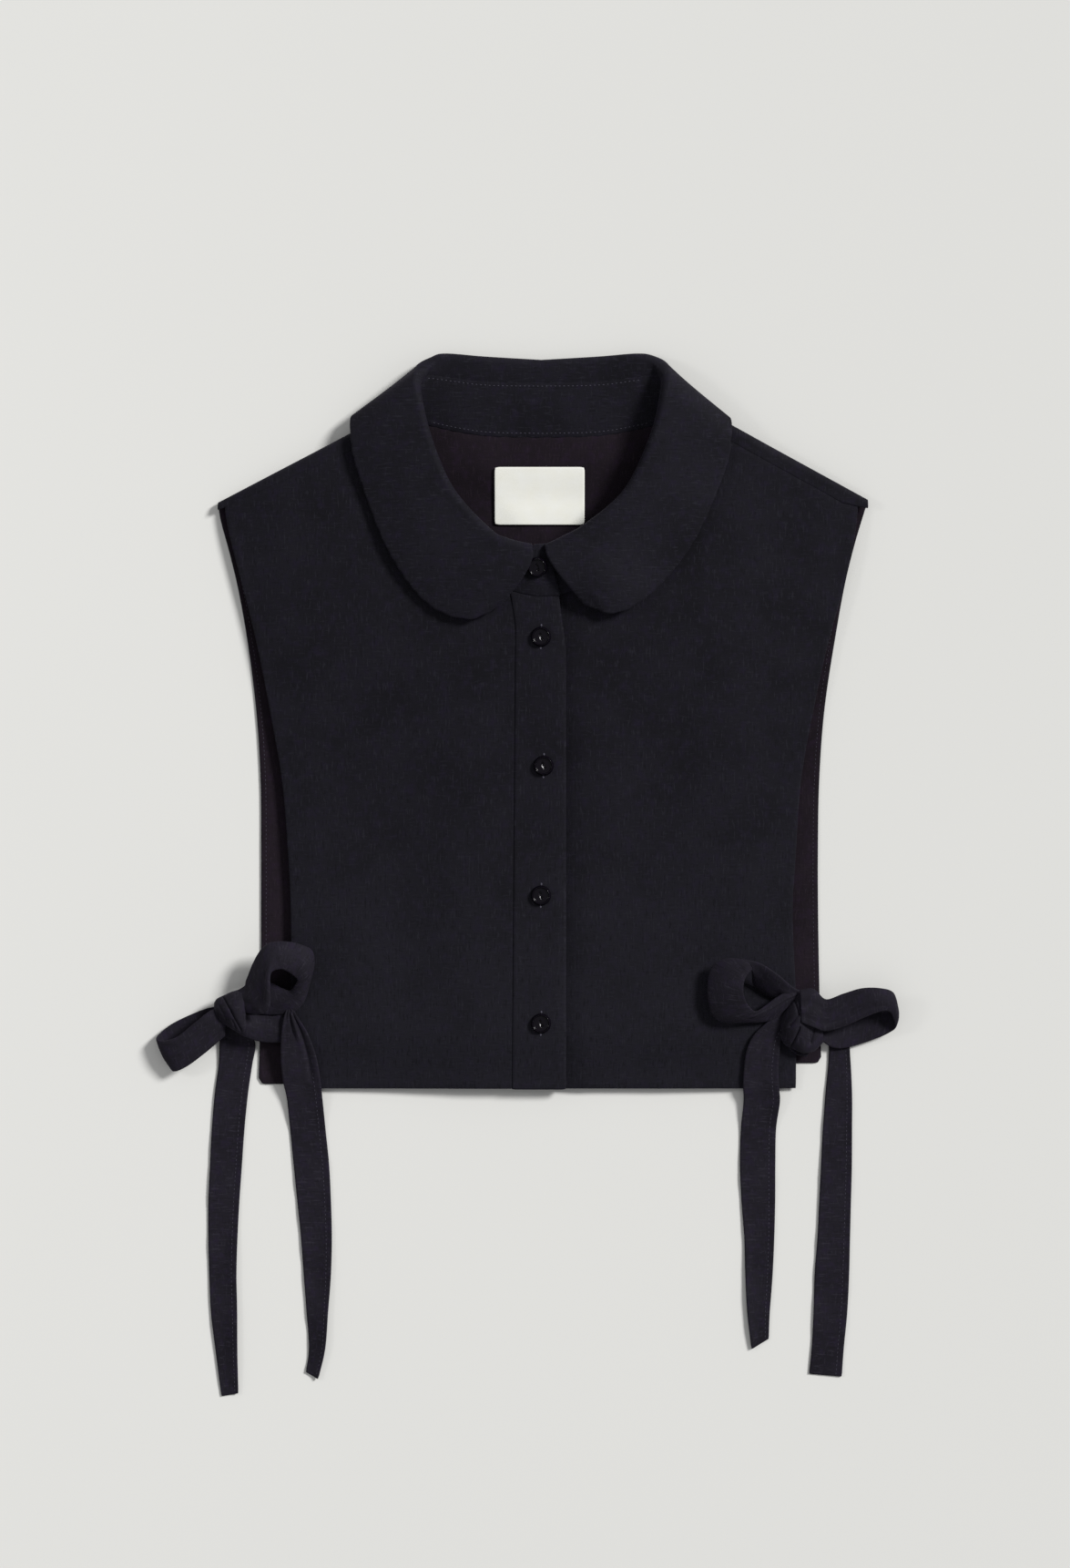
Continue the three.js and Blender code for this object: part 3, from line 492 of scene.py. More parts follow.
# Half widths by height: back panel and front panel, on the viewer's left and right
SIDE_HEIGHT = (-181, -130, -82, -52, -12, 27, 72, 98, 118, 132, 142)
BACK_LEFT = (154.9, 153.5, 153.3, 153.3, 153.6, 156.0, 161.9, 166.8, 171.8, 175.6, 177.2)
BACK_RIGHT = (153.6, 152.2, 151.4, 151.3, 152.0, 154.8, 161.6, 166.4, 171.3, 175.4, 178.6)
FRONT_LEFT = (137.2, 136.8, 136.9, 138.3, 141.3, 147.3, 154.8, 160.6, 166.2, 171.4, 175.4)
FRONT_RIGHT = (139.2, 139.0, 137.2, 138.9, 141.4, 147.5, 156.4, 164.0, 169.6, 173.6, 176.2)


def side_x(kind, y, side):
    """Half width of the back or front cloth at a height, through the stations above."""
    left = {"back": BACK_LEFT, "front": FRONT_LEFT}[kind]
    right = {"back": BACK_RIGHT, "front": FRONT_RIGHT}[kind]
    return np.where(np.asarray(side) < 0, eased_table(y, SIDE_HEIGHT, left),
                    eased_table(y, SIDE_HEIGHT, right))


def fold_y(x):
    """Shoulder fold: the tip's height plus a slope times the distance in from the tip."""
    left = 141.0 + 0.52 * (TIP_LEFT - np.abs(x))
    right = 142.5 + 0.545 * (TIP_RIGHT - np.abs(x))
    return np.where(np.asarray(x) < 0, left, right)


def seam_drop(x):
    """How far the shoulder seam lies in front of the fold: a straight ramp in from each tip,
    and on the right one more eased step near the collar."""
    left = lerp(3.4, 9.2, np.clip((TIP_LEFT - np.abs(x)) / 70.0, 0, 1))
    right = lerp(4.0, 8.7, np.clip((TIP_RIGHT - np.abs(x)) / 14.0, 0, 1))
    right = right + 6.0 * smooth((106.0 - np.abs(x)) / 26.0)
    return np.where(np.asarray(x) < 0, left, right)


def back_z(x, y):
    """Back cloth: flat on the ground, eased up at the neck to lie over the folded collar."""
    near = smooth((y - 140.0) / 26.0)
    inside = 1.0 - smooth((np.abs(x) - 1.36 * NECK_HALF) / 20.0)
    return lerp(BACK_FOOT, NECK_BACK, near * inside)


def back_cloth_z(x, y):
    """Back cloth with its low dimples, up to 0.24 mm high."""
    return back_z(x, y) + 0.12 * (1 + lattice_noise(x, y, 24, 9))


def front_z(x, y):
    """Front cloth: its sides stand a little off the back and its chest more, by a flat-topped
    arch; the last 30 mm ease down to the hem."""
    x, y = np.asarray(x, float), np.asarray(y, float)
    rise = lerp(HEM_RISE, CHEST_RISE, smooth((y + 60.0) / 160.0))
    across = np.minimum(1.0, np.abs(x) / (0.99 * side_x("front", y, x)))
    hem = 1.0 - smooth((y - HEM) / 30.0)
    return FRONT_FOOT - 3.0 * hem + rise * (1.0 - across ** 3.2)


def left_lift(x):
    """The left side steps up over the right one where they overlap."""
    return OVERLAP_LIFT * smooth((x + 84.0) / 56.0)


def placket_z(x, y):
    """Middle of the placket's cloth, on the same drape as the front below it."""
    return front_z(x, y) + OVERLAP_LIFT + drape(x, y)


# Neckline stations from the middle of the back to the front end: the stand's lower seam in
# shares of the neck's half width and depth, its level between back and front cloth, its rise
SEAM_ACROSS = (0, 0.4, 0.74, 0.94, 1.01, 1.0, 0.973, 0.854, 0.63, 0.333, 0.09, -0.122)
SEAM_DOWN = (0.128, 0.118, 0.07, 0.02, -0.01, 0.07, 0.23, 0.52, 0.776, 0.945, 1.01, 1.015)
SEAM_LEVEL = (0, 0, 0, 0.1, 0.5, 0.93, 1, 1, 1, 1, 1, 1)
STAND_RISE = (2.3, 2.4, 2.6, 3, 3, 3.2, 3.4, 3.4, 3.4, 3.4, 3.4, 2.6)
# Upper seam of the stand on the same stations, outward and up the garment
TOP_LEFT = ((0, 31.2, 54.4, 62.8, 67.0, 68.8, 64.7, 52.2, 30.7, 19.7, 6.0, -2.8),
            (206.8, 207.4, 210.2, 210.6, 206.6, 199.6, 176.8, 146.7, 123.1, 116.7, 113.5, 113.7))
TOP_RIGHT = ((0, 31.2, 54.6, 64.2, 67.4, 68.2, 63.9, 49.8, 28.2, 13.6, 3.3, -9.4),
             (206.8, 207.4, 210.2, 211.0, 207.2, 199.4, 176.8, 146.7, 127.0, 118.2, 113.5, 109.0))
# Collar fall on the first eleven stations: inner leg, fold direction in degrees from under
# to over, level between back and front cloth, bulge
FALL_LEG = (9.0, 10.2, 9.0, 6.0, 4.0, 3.0, 1.4, 1.2, 1.2, 1.2, 1.2)
FALL_TURN = (0, 0, 5, 35, 90, 145, 178, 180, 180, 180, 180)
FALL_LEVEL = (0, 0, 0, 0.06, 0.5, 0.95, 1, 1, 1, 1, 1)
FALL_BULGE = (0, 0, 0, 0, 0, 0.7, 1.0, 1.0, 1.2, 1.6, 1.8)
# Outer edge of the fall on the same stations, outward and up the garment: the first four, which
# both sides share, then each side's other seven
EDGE_X = (0, 43, 78, 96)
EDGE_Y = (173, 174, 176, 181)
EDGE_LEFT = ((103.0, 103.5, 100.2, 84.0, 63.5, 41.0, 23.5),
             (188.3, 178.4, 160.0, 117.0, 87.8, 77.8, 84.5))
EDGE_RIGHT = ((102.3, 103.0, 100.0, 83.0, 61.5, 41.0, 24.0),
              (187.4, 178.2, 160.0, 121.0, 94.0, 81.2, 85.5))


def seam_height(x, y, level, side):
    """Height of the neck seam, mixed by its level between the back and the front cloth."""
    over = left_lift(x) if side < 0 else 0.0
    high = front_z(x, np.minimum(y, ARCH_TOP)) + over
    return lerp(NECK_BACK, high, level)


def stand_rail(share, side):
    """Lower and upper seam points of the stand at shares of the half neckline, on one side."""
    share = np.asarray(share, float)
    x = curve_through(SEAM_ACROSS, share) * NECK_HALF * side
    y = NECK_TOP - curve_through(SEAM_DOWN, share) * NECK_DEPTH
    front = TOP_LEFT if side < 0 else TOP_RIGHT
    top_x = curve_through(front[0], share) * side
    top_y = curve_through(front[1], share)
    level = np.clip(curve_through(SEAM_LEVEL, share), 0, 1)
    z = seam_height(x, y, level, side)
    rise = curve_through(STAND_RISE, share)
    return np.stack([x, y, z], -1), np.stack([top_x, top_y, z + rise], -1)


def stand_grid():
    """Stand: straight lines from the lower seam to the upper one, with a half-sine swell.

    It goes from the right front end round the back to the left front end. Near both ends the
    upper seam eases a few millimetres up the garment.
    Small puckers run along both seams: cosines of the distance walked, fading off the seams.
    """
    right = np.linspace(1.0, 0.0, 90)
    left = np.linspace(0.0, 1.0, 90)[1:]
    seam_r, top_r = stand_rail(right, 1)
    seam_l, top_l = stand_rail(left, -1)
    seam = np.concatenate([seam_r, seam_l])
    top = np.concatenate([top_r, top_l])
    ends_right, ends_left = (smooth((share - 0.905) / 0.025) for share in (right, left))
    top[:, 1] += np.concatenate([3.2 * ends_right, 3.8 * ends_left])
    t = np.linspace(0.0, 1.0, 17)[:, None, None]
    grid = lerp(seam[None], top[None], t)
    walked = walked_along(seam)
    near_seam = np.exp(-t[..., 0] * 9.0) + np.exp(-(1 - t[..., 0]) * 9.0)
    pucker = 0.16 * np.cos(walked * 2 * math.pi / 6.1 + 1.3 * np.sin(walked / 17.0))
    ends = smooth(np.minimum(walked, walked[-1] - walked) / 12.0)
    grid[..., 2] += 0.5 * np.sin(math.pi * t[..., 0]) + pucker * near_seam * ends
    return grid


def fall_grid(side):
    """Half of the collar fall, station by station from the back (0) to the front end (1).

    From the stand's upper seam an inner leg runs on in line, a half circle turns it over in
    the fold direction, and an outer leaf runs straight to the edge, with a half-sine bulge, a
    sideways bend at the front end and the shared drape of the cloth below it. Where the leaf
    lies on the front, its edge has small waves and a long flutter, both sines of the distance
    walked. The right one's front end stands 2.4 mm higher.
    """
    steps, width = 110, 46
    edge_rise, right_end_rise = 3.9, 2.4
    sideways = 3.7 if side < 0 else 2.2
    share = np.linspace(0.0, 1.0, steps)
    seam, top = stand_rail(share * 10.0 / 11.0, side)
    inward = top - seam
    inward[:, 2] = 0.0
    inward = unit(inward)
    outward = np.stack([-inward[:, 1], inward[:, 0], np.zeros(steps)], -1)
    flip = (outward[:, 0] * side < 0) & (share < 0.7)
    outward[flip] *= -1.0
    angle = np.radians(np.clip(curve_through(FALL_TURN, share), 0, 180))
    leg = curve_through(FALL_LEG, share)
    level = np.clip(curve_through(FALL_LEVEL, share), 0, 1)
    leg_end = top + inward * leg[:, None]
    leg_end[:, 2] += 0.9 * (1.0 - level) + 0.2
    radius = lerp(np.minimum((leg_end[:, 2] - 1.0) / 2.0, 3.1), TURN_RADIUS, smooth(level))
    over = outward * np.sin(angle)[:, None]
    over[:, 2] = -np.cos(angle)
    rows = [lerp(top + inward * 0.5, leg_end, t) for t in (0.0, 0.33, 0.66)]
    centre = leg_end + over * radius[:, None]
    for turn in np.linspace(0.0, math.pi, 15):
        rows.append(centre - over * (radius * math.cos(turn))[:, None]
                    + inward * (radius * math.sin(turn))[:, None])
    front = EDGE_LEFT if side < 0 else EDGE_RIGHT
    edge_x = curve_through(EDGE_X + front[0], share) * side
    edge_y = curve_through(EDGE_Y + front[1], share)
    lying = front_z(edge_x, np.minimum(edge_y, ARCH_TOP))
    lying = lying + (left_lift(edge_x) if side < 0 else 0.0)
    lying = lying + (right_end_rise * smooth((share - 0.7) / 0.18) if side > 0 else 0.0)
    edge = np.stack([edge_x, edge_y, lerp(1.0, lying + edge_rise, level)], -1)
    last = rows[-1].copy()
    bulge = curve_through(FALL_BULGE, share)
    ending = smooth((share - 0.88) / 0.12)
    on_front = smooth((level - 0.9) * 10)
    walked = walked_along(edge)
    ahead = unit(np.gradient(edge, axis=0))
    wavy = 0.28 * np.sin(walked / 1.35 + 2.0 * np.sin(walked / 11.0)) * on_front
    edge[:, :2] += np.stack([ahead[:, 1], -ahead[:, 0]], -1) * wavy[:, None]
    flutter = 0.5 * np.sin(walked / 9.5 + (0.6 if side < 0 else 2.0)) * on_front
    for t in np.linspace(0.0, 1.0, width)[1:]:
        p = lerp(last, edge, t)
        p += over * (bulge * math.sin(math.pi * t))[:, None]
        p[:, 0] -= side * sideways * ending * math.sin(math.pi * t ** 0.7)
        p[:, 2] += (0.6 * drape(p[:, 0], p[:, 1]) + flutter) * level * smooth(t * 1.6)
        p[:, 2] = np.maximum(p[:, 2], 1.0)
        rows.append(p)
    return np.stack(rows)


def back_neck_y(x):
    """The back cloth's neck edge, just short of the stand's lower seam."""
    share = np.abs(x) / NECK_HALF
    return NECK_TOP - np.interp(share, SEAM_ACROSS[:5], SEAM_DOWN[:5]) * NECK_DEPTH - 0.3


def back_panel_grid():
    """Back cloth: columns are shares of the side edge, rows go from the hem to the top.

    Past the top, the shoulder columns turn over in a half circle onto the front and run on
    straight to the shoulder seam; the neck columns stop at the neck seam. The hem rises 11.5 mm
    towards the right side, and its corners are quarter circles. Also returns the cells to keep.
    """
    neck_column = 0.462
    body_rows, turn_rows = 84, 18
    hem_half, corner = 154.0, 3.0
    half = np.concatenate([np.linspace(0, neck_column, 46)[:-1], np.linspace(neck_column, 1, 50)])
    shares = np.concatenate([-half[:0:-1], half])
    side = np.where(shares < 0, -1.0, 1.0)
    inside = np.abs(shares) < neck_column - 1e-6
    x_top = shares * 0.994 * HALF_SHOULDER
    under = back_z(x_top, fold_y(x_top))
    over = np.maximum(front_z(x_top, fold_y(x_top) - seam_drop(x_top)), under + 1.9)
    over = over + drape(x_top, fold_y(x_top) - seam_drop(x_top)) * smooth((over - under) / 4)
    radius = (over - under) / 2
    rows = []
    for v in np.linspace(0.0, 1.0, body_rows):
        top = np.where(inside, back_neck_y(x_top), fold_y(x_top) - radius)
        y = lerp(BACK_HEM, top, v)
        out = np.maximum(0.0, np.abs(shares) * hem_half - (hem_half - corner))
        rounding = corner - np.sqrt(np.maximum(0.0, corner ** 2 - out ** 2))
        y = y + 11.5 * smooth((shares - 0.35) / 0.5) * (1 - v) + rounding * (1 - v) ** 12
        x = shares * side_x("back", y, side)
        rows.append(np.stack([x, y, back_cloth_z(x, y)], -1))
    for c in np.linspace(0.0, 1.0, turn_rows + 1)[1:]:
        turn = math.pi * min(1.0, c / 0.7)
        past = max(0.0, (c - 0.7) / 0.3)
        x = shares * side_x("back", fold_y(HALF_SHOULDER * side), side)
        y = fold_y(x) - radius + radius * math.sin(turn)
        y = y - past * np.maximum(seam_drop(x) - radius, 0.4)
        z = (under + over) / 2 - radius * math.cos(turn)
        rows.append(np.stack([x, y, z], -1))
    grid = np.stack(rows)
    row_is_body = np.arange(len(rows) - 1) < body_rows - 1
    column_is_shoulder = (np.abs(shares[:-1]) >= neck_column - 1e-6) & (
        np.abs(shares[1:]) >= neck_column - 1e-6)
    return grid, row_is_body[:, None] | column_is_shoulder[None, :]


def beside_seam(share, side):
    """Points of the stand's lower seam moved 0.9 mm out from the neck."""
    seam, top = stand_rail(share, side)
    out = seam - top
    out[..., 2] = 0.0
    return seam + unit(out) * 0.9


def seam_share_at(across):
    """Share of the half neckline at which the lower seam crosses a distance from the middle."""
    shares = np.linspace(1.0, 0.55, 400)
    return np.interp(across, curve_through(SEAM_ACROSS, shares) * NECK_HALF, shares)


def front_grid(side, centre_x, hem_centre):
    """Front cloth: columns go from the side edge (0) to the middle (1), rows hem to top.

    The top runs along the shoulder seam, then down the neck seam. Each column is a straight
    line to it from the hem, bent out to the side's curve by a share that fades inwards. The
    right front sinks 1.3 mm where it goes under the placket.
    """
    corner = 0.36
    neck_start = 0.47
    sink = 1.3
    share = np.concatenate([np.linspace(0, corner, 40)[:-1], np.linspace(corner, 1.0, 70)])
    inner = beside_seam(np.array([neck_start]), 1)[0, 0]
    x_seam = lerp(0.972 * HALF_SHOULDER, inner, np.clip(share / corner, 0, 1)) * side
    y_seam = fold_y(x_seam) - seam_drop(x_seam) - SEAM_GAP
    t = np.clip((share - corner) / (1.0 - corner), 0, 1)
    end = seam_share_at(side * centre_x)
    neck = beside_seam(lerp(neck_start, end, t), side)
    high = fold_y(neck[:, 0]) - seam_drop(neck[:, 0]) - SEAM_GAP
    on_neck = share > corner
    top_x = np.where(on_neck, neck[:, 0], x_seam)
    top_x[-1] = centre_x
    top_y = np.where(on_neck, np.minimum(neck[:, 1], high), y_seam)
    hem_x = lerp(side * side_x("front", HEM, side), hem_centre, share ** 0.85)
    v = np.linspace(0.0, 1.0, 110)[:, None]
    y = lerp(HEM, top_y[None], v)
    side_y = lerp(HEM, top_y[0], v)
    side_straight = lerp(side * side_x("front", HEM, side), top_x[0], v)
    bend = side * side_x("front", side_y, side) - side_straight
    x = lerp(hem_x[None], top_x[None], v) + bend * (1 - share[None]) ** 1.5 * (1 - v ** 6)
    lift = left_lift(x) if side < 0 else sink * (smooth((x - 11.0) / 14.0) - 1.0)
    edge = smooth(share[None] / 0.12)
    grid = np.stack([x, y, front_z(x, y) + lift + drape(x, y) * edge], -1)
    return grid[:, ::-1] if side > 0 else grid


def placket_grid():
    """Placket: a strip up the left front's edge, a little wider at the hem, its free edge
    turned down a little, on the same drape as the front below it."""
    v = np.linspace(0.0, 1.0, 120)[:, None]
    u = np.linspace(0.0, 1.0, 25)[None]
    foot = HEM - 0.1
    height = lerp(foot, 90.0, v)
    left = lerp(-15.4, -13.4, v) - 3.2 * np.clip((height - 70.0) / 20.0, 0, 1) ** 1.3
    right = 12.6 - 3.5 * smooth((height - 58.0) / 34.0)
    x = lerp(left, right, u)
    top = beside_seam(seam_share_at(np.maximum(-x[-1], -0.12 * NECK_HALF)), -1)[:, 1] - 0.6
    y = lerp(foot, top[None], v)
    z = placket_z(x, y)
    z += 0.12 * np.exp(-u * 14) - 0.35 * smooth((u - 0.86) / 0.14)
    return np.stack([x, y, z], -1)


# Bows

# Straps as their two edges at each station, in millimetres from the knot:
# first edge x, y, height, second edge x, y, height
LEFT_STRAPS = {
    "upper_loop": (
        (1.5, 11, 9.5, 1.5, 2, 10), (7.5, 14.5, 11.5, 8, 1, 13), (8.5, 17.5, 12.5, 15, 0, 16),
        (10, 21.5, 13, 20.5, 2.5, 18.5), (12.3, 27, 14, 22, 8.5, 20),
        (16, 33.5, 15.2, 22, 16, 20.8), (21, 38, 16.2, 22.5, 23, 21),
        (29.5, 39, 16, 27, 25, 20.2), (37.5, 37.5, 14.8, 31, 23.8, 18.8),
        (44, 34, 13, 35, 21, 16.8), (45, 26, 11, 36.8, 18.5, 15),
        (42.5, 16.5, 9, 35.3, 15, 12.5), (39.5, 7, 8.5, 32, 12, 9.8), (33.5, 1, 8.2, 27, 13.5, 8.6),
        (22.5, -0.5, 7.8, 21, 16, 7.6), (12.5, 0.5, 7.4, 12.5, 14, 7.2), (4.5, 3, 7, 4.5, 11, 7)),
    "outer_loop": (
        (-4, 3, 9, -4, -12, 8), (-11.5, 0.8, 11, -9.5, -17, 9), (-20, -5.8, 11.5, -15.5, -22, 9),
        (-29, -13, 11, -23.5, -28, 8.5), (-36.3, -15.6, 9.5, -29.8, -31.2, 7.5),
        (-40.8, -15, 6.8, -32.6, -31.2, 5.5), (-39.6, -12, 3.4, -31.6, -29, 2.5),
        (-32.6, -6.5, 2.2, -25, -24, 1.8), (-22.5, -1.5, 2.6, -16.5, -18, 2),
        (-12.5, 2.3, 3.5, -9.5, -13, 3), (-6, 3, 5, -4, -7, 4.5)),
    "front_tie_root": (
        (35.5, -2, 7.0, 35.5, -14, 7.0), (30.5, -0.5, 7.2, 30.5, -15, 6.8),
        (23.5, -2, 7.4, 24, -15.7, 7), (15.5, -1.6, 8.2, 16.5, -15.2, 7.6),
        (8.5, -1.2, 10.4, 10.5, -13.6, 8.8), (3.5, 0, 12.4, 4.5, -10.6, 9.6),
        (-1.5, 3, 12, -1, -7, 9)),
    "back_tie_root": (
        (17.5, 8, 1.8, 17.5, -7, 1.8), (6.5, 6, 2.5, 6.5, -6, 2.5), (0.5, 4, 4, 0.5, -5, 4)),
    "outer_tail": (
        (-4.5, 0, 6, 3.5, -3, 8), (-6, -7, 3.5, 8.5, -11, 6), (-6.3, -17, 1.5, 12.3, -17, 2.5),
        (-7, -29, 0.8, 10.4, -29, 0.8), (-9, -44, 0.8, 8.2, -44, 0.8),
        (-10.7, -64, 0.8, 6.2, -64, 0.8),
        (-11.7, -84, 0.8, 4.8, -84, 0.8), (-12.6, -104, 0.8, 3.4, -104, 0.9),
        (-12.6, -124, 0.8, 2.4, -124, 1.4), (-12.1, -144, 0.8, 1.9, -144, 2),
        (-11.2, -164, 0.8, 2.3, -164, 2.4), (-8.8, -184, 0.8, 2.4, -184, 2.6),
        (-5.5, -210, 0.8, 2.9, -208.5, 1.6)),
    "inner_tail": (
        (30.5, 2, 9, 33.5, 2, 9), (29, -3, 10.4, 36.5, -3, 10),
        (27.8, -11.5, 9.6, 41.5, -11.5, 9.4),
        (27.4, -24, 7.3, 45.9, -24, 7.5), (28.5, -37, 5.2, 48.1, -37, 5.4),
        (30.6, -47, 3.2, 49.1, -47, 3.4), (32.3, -64, 0.8, 50.7, -64, 0.8),
        (34.3, -84, 0.8, 52.7, -84, 0.8), (36.3, -104, 0.8, 53.7, -104, 0.9),
        (38.3, -124, 0.8, 54.2, -124, 1.2), (39.8, -144, 0.8, 53.7, -144, 1.8),
        (41.3, -164, 0.8, 52.2, -164, 2.4), (42.6, -184, 0.8, 50.7, -184, 2.4),
        (41, -197, 0.8, 46.9, -200.5, 1.6)),
}
RIGHT_STRAPS = {
    "inner_loop": (
        (-3.5, 14.5, 9, -3.5, 10.5, 6.6), (-8.5, 17, 13, -10.5, 10.5, 7),
        (-16.5, 23.6, 16.5, -19.5, 10.8, 7.2), (-25.5, 29.6, 18, -28.5, 17.5, 7.8),
        (-35.5, 31.8, 17.6, -29.8, 26.6, 16.4), (-45.5, 31.8, 15.5, -33.6, 23.6, 18.4),
        (-52, 27.3, 13.5, -35.4, 18.8, 19.4), (-53.8, 18.5, 13, -35.4, 13.4, 19.6),
        (-53.3, 8.5, 13, -33.8, 8.8, 18.6), (-50.5, 1, 12.5, -31, 5, 17),
        (-44, -1.8, 11.5, -27.8, 3.6, 15.5), (-32.5, -2.2, 10.5, -22.5, 6.5, 14),
        (-21, -1.2, 9.5, -16.5, 11, 13), (-12.5, 4.5, 9.5, -11.5, 13.5, 12),
        (-6.5, 9.5, 9, -6.5, 14, 11), (-2.5, 9.5, 8, -2.5, 13.5, 9)),
    "outer_loop": (
        (-3.5, 15, 13.2, -2.8, -2, 15.4), (3.5, 15.5, 13, 4, -4.6, 14.2),
        (10.3, 9.8, 12.6, 10.5, -6.6, 11.4), (20, 12.9, 13.4, 20.5, -4, 10.6),
        (30, 15.9, 14.6, 31.5, 1, 11.6), (40, 15.9, 14.5, 40.5, 4.2, 12.6),
        (47, 13.5, 12, 46, 3.4, 10.8), (49.5, 5.5, 8.4, 48.9, -4, 7.2),
        (47, 7.5, 5.2, 44.8, -8.2, 4), (38.5, 9.5, 4.6, 35.2, -12.2, 2.8),
        (25, 6, 5, 22.5, -16, 3), (15, 3, 5.4, 14.5, -16, 3.8),
        (7.5, 1, 6, 7.5, -11.7, 6), (1.5, 0, 8, 1.5, -9.5, 8)),
    "front_tie_root": (
        (-14, -9, 7.6, -3, -10.5, 7.6), (-11, -14, 8.4, 0.8, -15.5, 7),
        (-8.6, -17, 7.6, 1, -18.5, 5.4), (-5, -20, 6.4, 0, -21.3, 4.6)),
    "back_tie_root": (
        (6, 11, 1.8, 6, -6.5, 1.8), (0.5, 9.5, 2.6, 0.5, -5.5, 2.6), (-4.5, 7.5, 4, -4.5, -3.5, 4)),
    "inner_tail": (
        (-13.5, 4.5, 8, -8.5, 2.5, 8), (-21, -2.5, 8.8, -11.5, -5.5, 8),
        (-28.3, -9.5, 8.8, -14.5, -12.5, 7.6), (-32.2, -17.5, 7.9, -15.3, -19.5, 7.4),
        (-33.7, -27.5, 6.5, -15.9, -28.5, 5.8), (-34.2, -37.5, 5.5, -15.4, -38.5, 4.8),
        (-33.8, -46, 3.4, -14.9, -46.5, 3), (-35.2, -61.5, 0.8, -16.9, -61.5, 0.8),
        (-35.7, -81.5, 0.8, -17.3, -81.5, 0.8), (-34.8, -101.5, 0.8, -17.4, -101.5, 0.8),
        (-33.3, -121.5, 0.9, -17.9, -121.5, 0.8), (-32.8, -141.5, 1.6, -18.8, -141.5, 0.8),
        (-31.8, -161.5, 2, -20.3, -161.5, 0.8), (-29.5, -181.5, 1.6, -20.9, -176.3, 0.8)),
    "outer_tail": (
        (7.5, -5.5, 4, 15.5, -3.5, 3), (12.2, -12.5, 1.6, 22.5, -11.5, 1.4),
        (13, -21.5, 0.8, 23.8, -21.5, 0.8), (11.3, -41.5, 0.8, 24.8, -41.5, 0.8),
        (9.8, -61.5, 0.8, 24.8, -61.5, 0.9), (8.8, -81.5, 0.8, 24.7, -81.5, 0.9),
        (7.8, -101.5, 0.8, 24.2, -101.5, 0.8), (6.8, -121.5, 0.8, 23.7, -121.5, 0.8),
        (5.3, -141.5, 0.8, 23.2, -141.5, 0.8), (4.7, -161.5, 0.8, 22.2, -161.5, 0.8),
        (3.7, -181.5, 0.8, 20.3, -181.5, 0.8), (2.3, -195.3, 0.8, 19.2, -196.8, 0.8)),
}
# Each strap's steps, folds at the knot, swell in millimetres and flat width and length in metres
PLAN = {
    "left_upper_loop": (150, 0.35, 1.9, 0.020, 0.110),
    "left_outer_loop": (100, 0.3, -0.9, 0.018, 0.075),
    "left_front_tie_root": (60, 0.3, -1.4, 0.016, 0.040),
    "left_back_tie_root": (24, 0.2, 0.2, 0.014, 0.018),
    "left_outer_tail": (160, 0.5, 0.5, 0.016, 0.212),
    "left_inner_tail": (160, 0.5, 0.5, 0.016, 0.204),
    "right_inner_loop": (150, 0.35, -1.5, 0.018, 0.115),
    "right_outer_loop": (110, 0.35, 1.0, 0.017, 0.100),
    "right_front_tie_root": (30, 0.2, 0.6, 0.012, 0.013),
    "right_back_tie_root": (24, 0.2, 0.2, 0.015, 0.011),
    "right_inner_tail": (160, 0.5, 0.5, 0.017, 0.190),
    "right_outer_tail": (160, 0.4, 0.4, 0.016, 0.193),
}
# Lengthwise ridges and valleys: height in millimetres, then as shares of the strap the place and
# breadth across, the start and end along
RIDGES = {"left_upper_loop": ((1.3, 0.93, 0.12, 0.1, 0.42), (-1.2, 0.1, 0.05, 0.57, 0.68)),
          "left_outer_loop": ((-0.7, 0.12, 0.09, 0.1, 0.4),),
          "left_inner_tail": ((-1.6, 0.6, 0.06, 0.0, 0.2), (1.3, 0.78, 0.09, 0.0, 0.34)),
          "right_inner_loop": ((0.8, 0.45, 0.27, 0.08, 0.22),
                               (-1.0, 0.75, 0.09, 0.66, 0.95)),
          "right_outer_loop": ((0.8, 0.9, 0.09, 0.1, 0.42),)}
# Knot wraps as stations along x: x, y, half breadth, level, half height
LEFT_KNOT = ((-9, 2.5, 3, 7.5, 2.4), (-7.6, 2.5, 5, 8, 4), (-4.5, 2.2, 7, 8.6, 5.6),
             (-0.5, 1.8, 9.2, 9, 6.6), (3.5, 1, 11, 9.2, 6.8), (6.4, 1, 12, 9.2, 5.6),
             (7.6, 1, 11.2, 9.2, 4))
RIGHT_KNOT = ((-13.5, -6.5, 5, 7.4, 2.6), (-11.5, -5.5, 9, 8, 4.6), (-7.5, -3.5, 12.6, 8.8, 6),
              (-3.6, -2, 16, 8.7, 6), (0, -4.5, 14.5, 8, 4.8), (4, -6.4, 11.5, 7.2, 3.8),
              (8.5, -6.5, 7, 6.6, 2.6))
# Valleys on a wrap: x, y of both ends, depth and breadth
LEFT_CREASES = ((-4, 8.5, 0.5, 1, 1.7, 0.6), (0.5, 1, 5.5, -9, 1.9, 0.6),
                (1, -3.5, 3, -8, 1.0, 0.5), (-6, 4, -2, -3, 0.6, 0.8))
RIGHT_CREASES = ((-4, -5, -8.5, -15.5, 1.8, 0.7), (-6.5, 9.5, -4.5, 2, 1.2, 0.6),
                 (-4.5, 2, -9, -4, 1.0, 0.7), (-3, 15, -1, 6, 0.6, 0.9),
                 (4.5, -4, 2, -13, 0.9, 0.9))


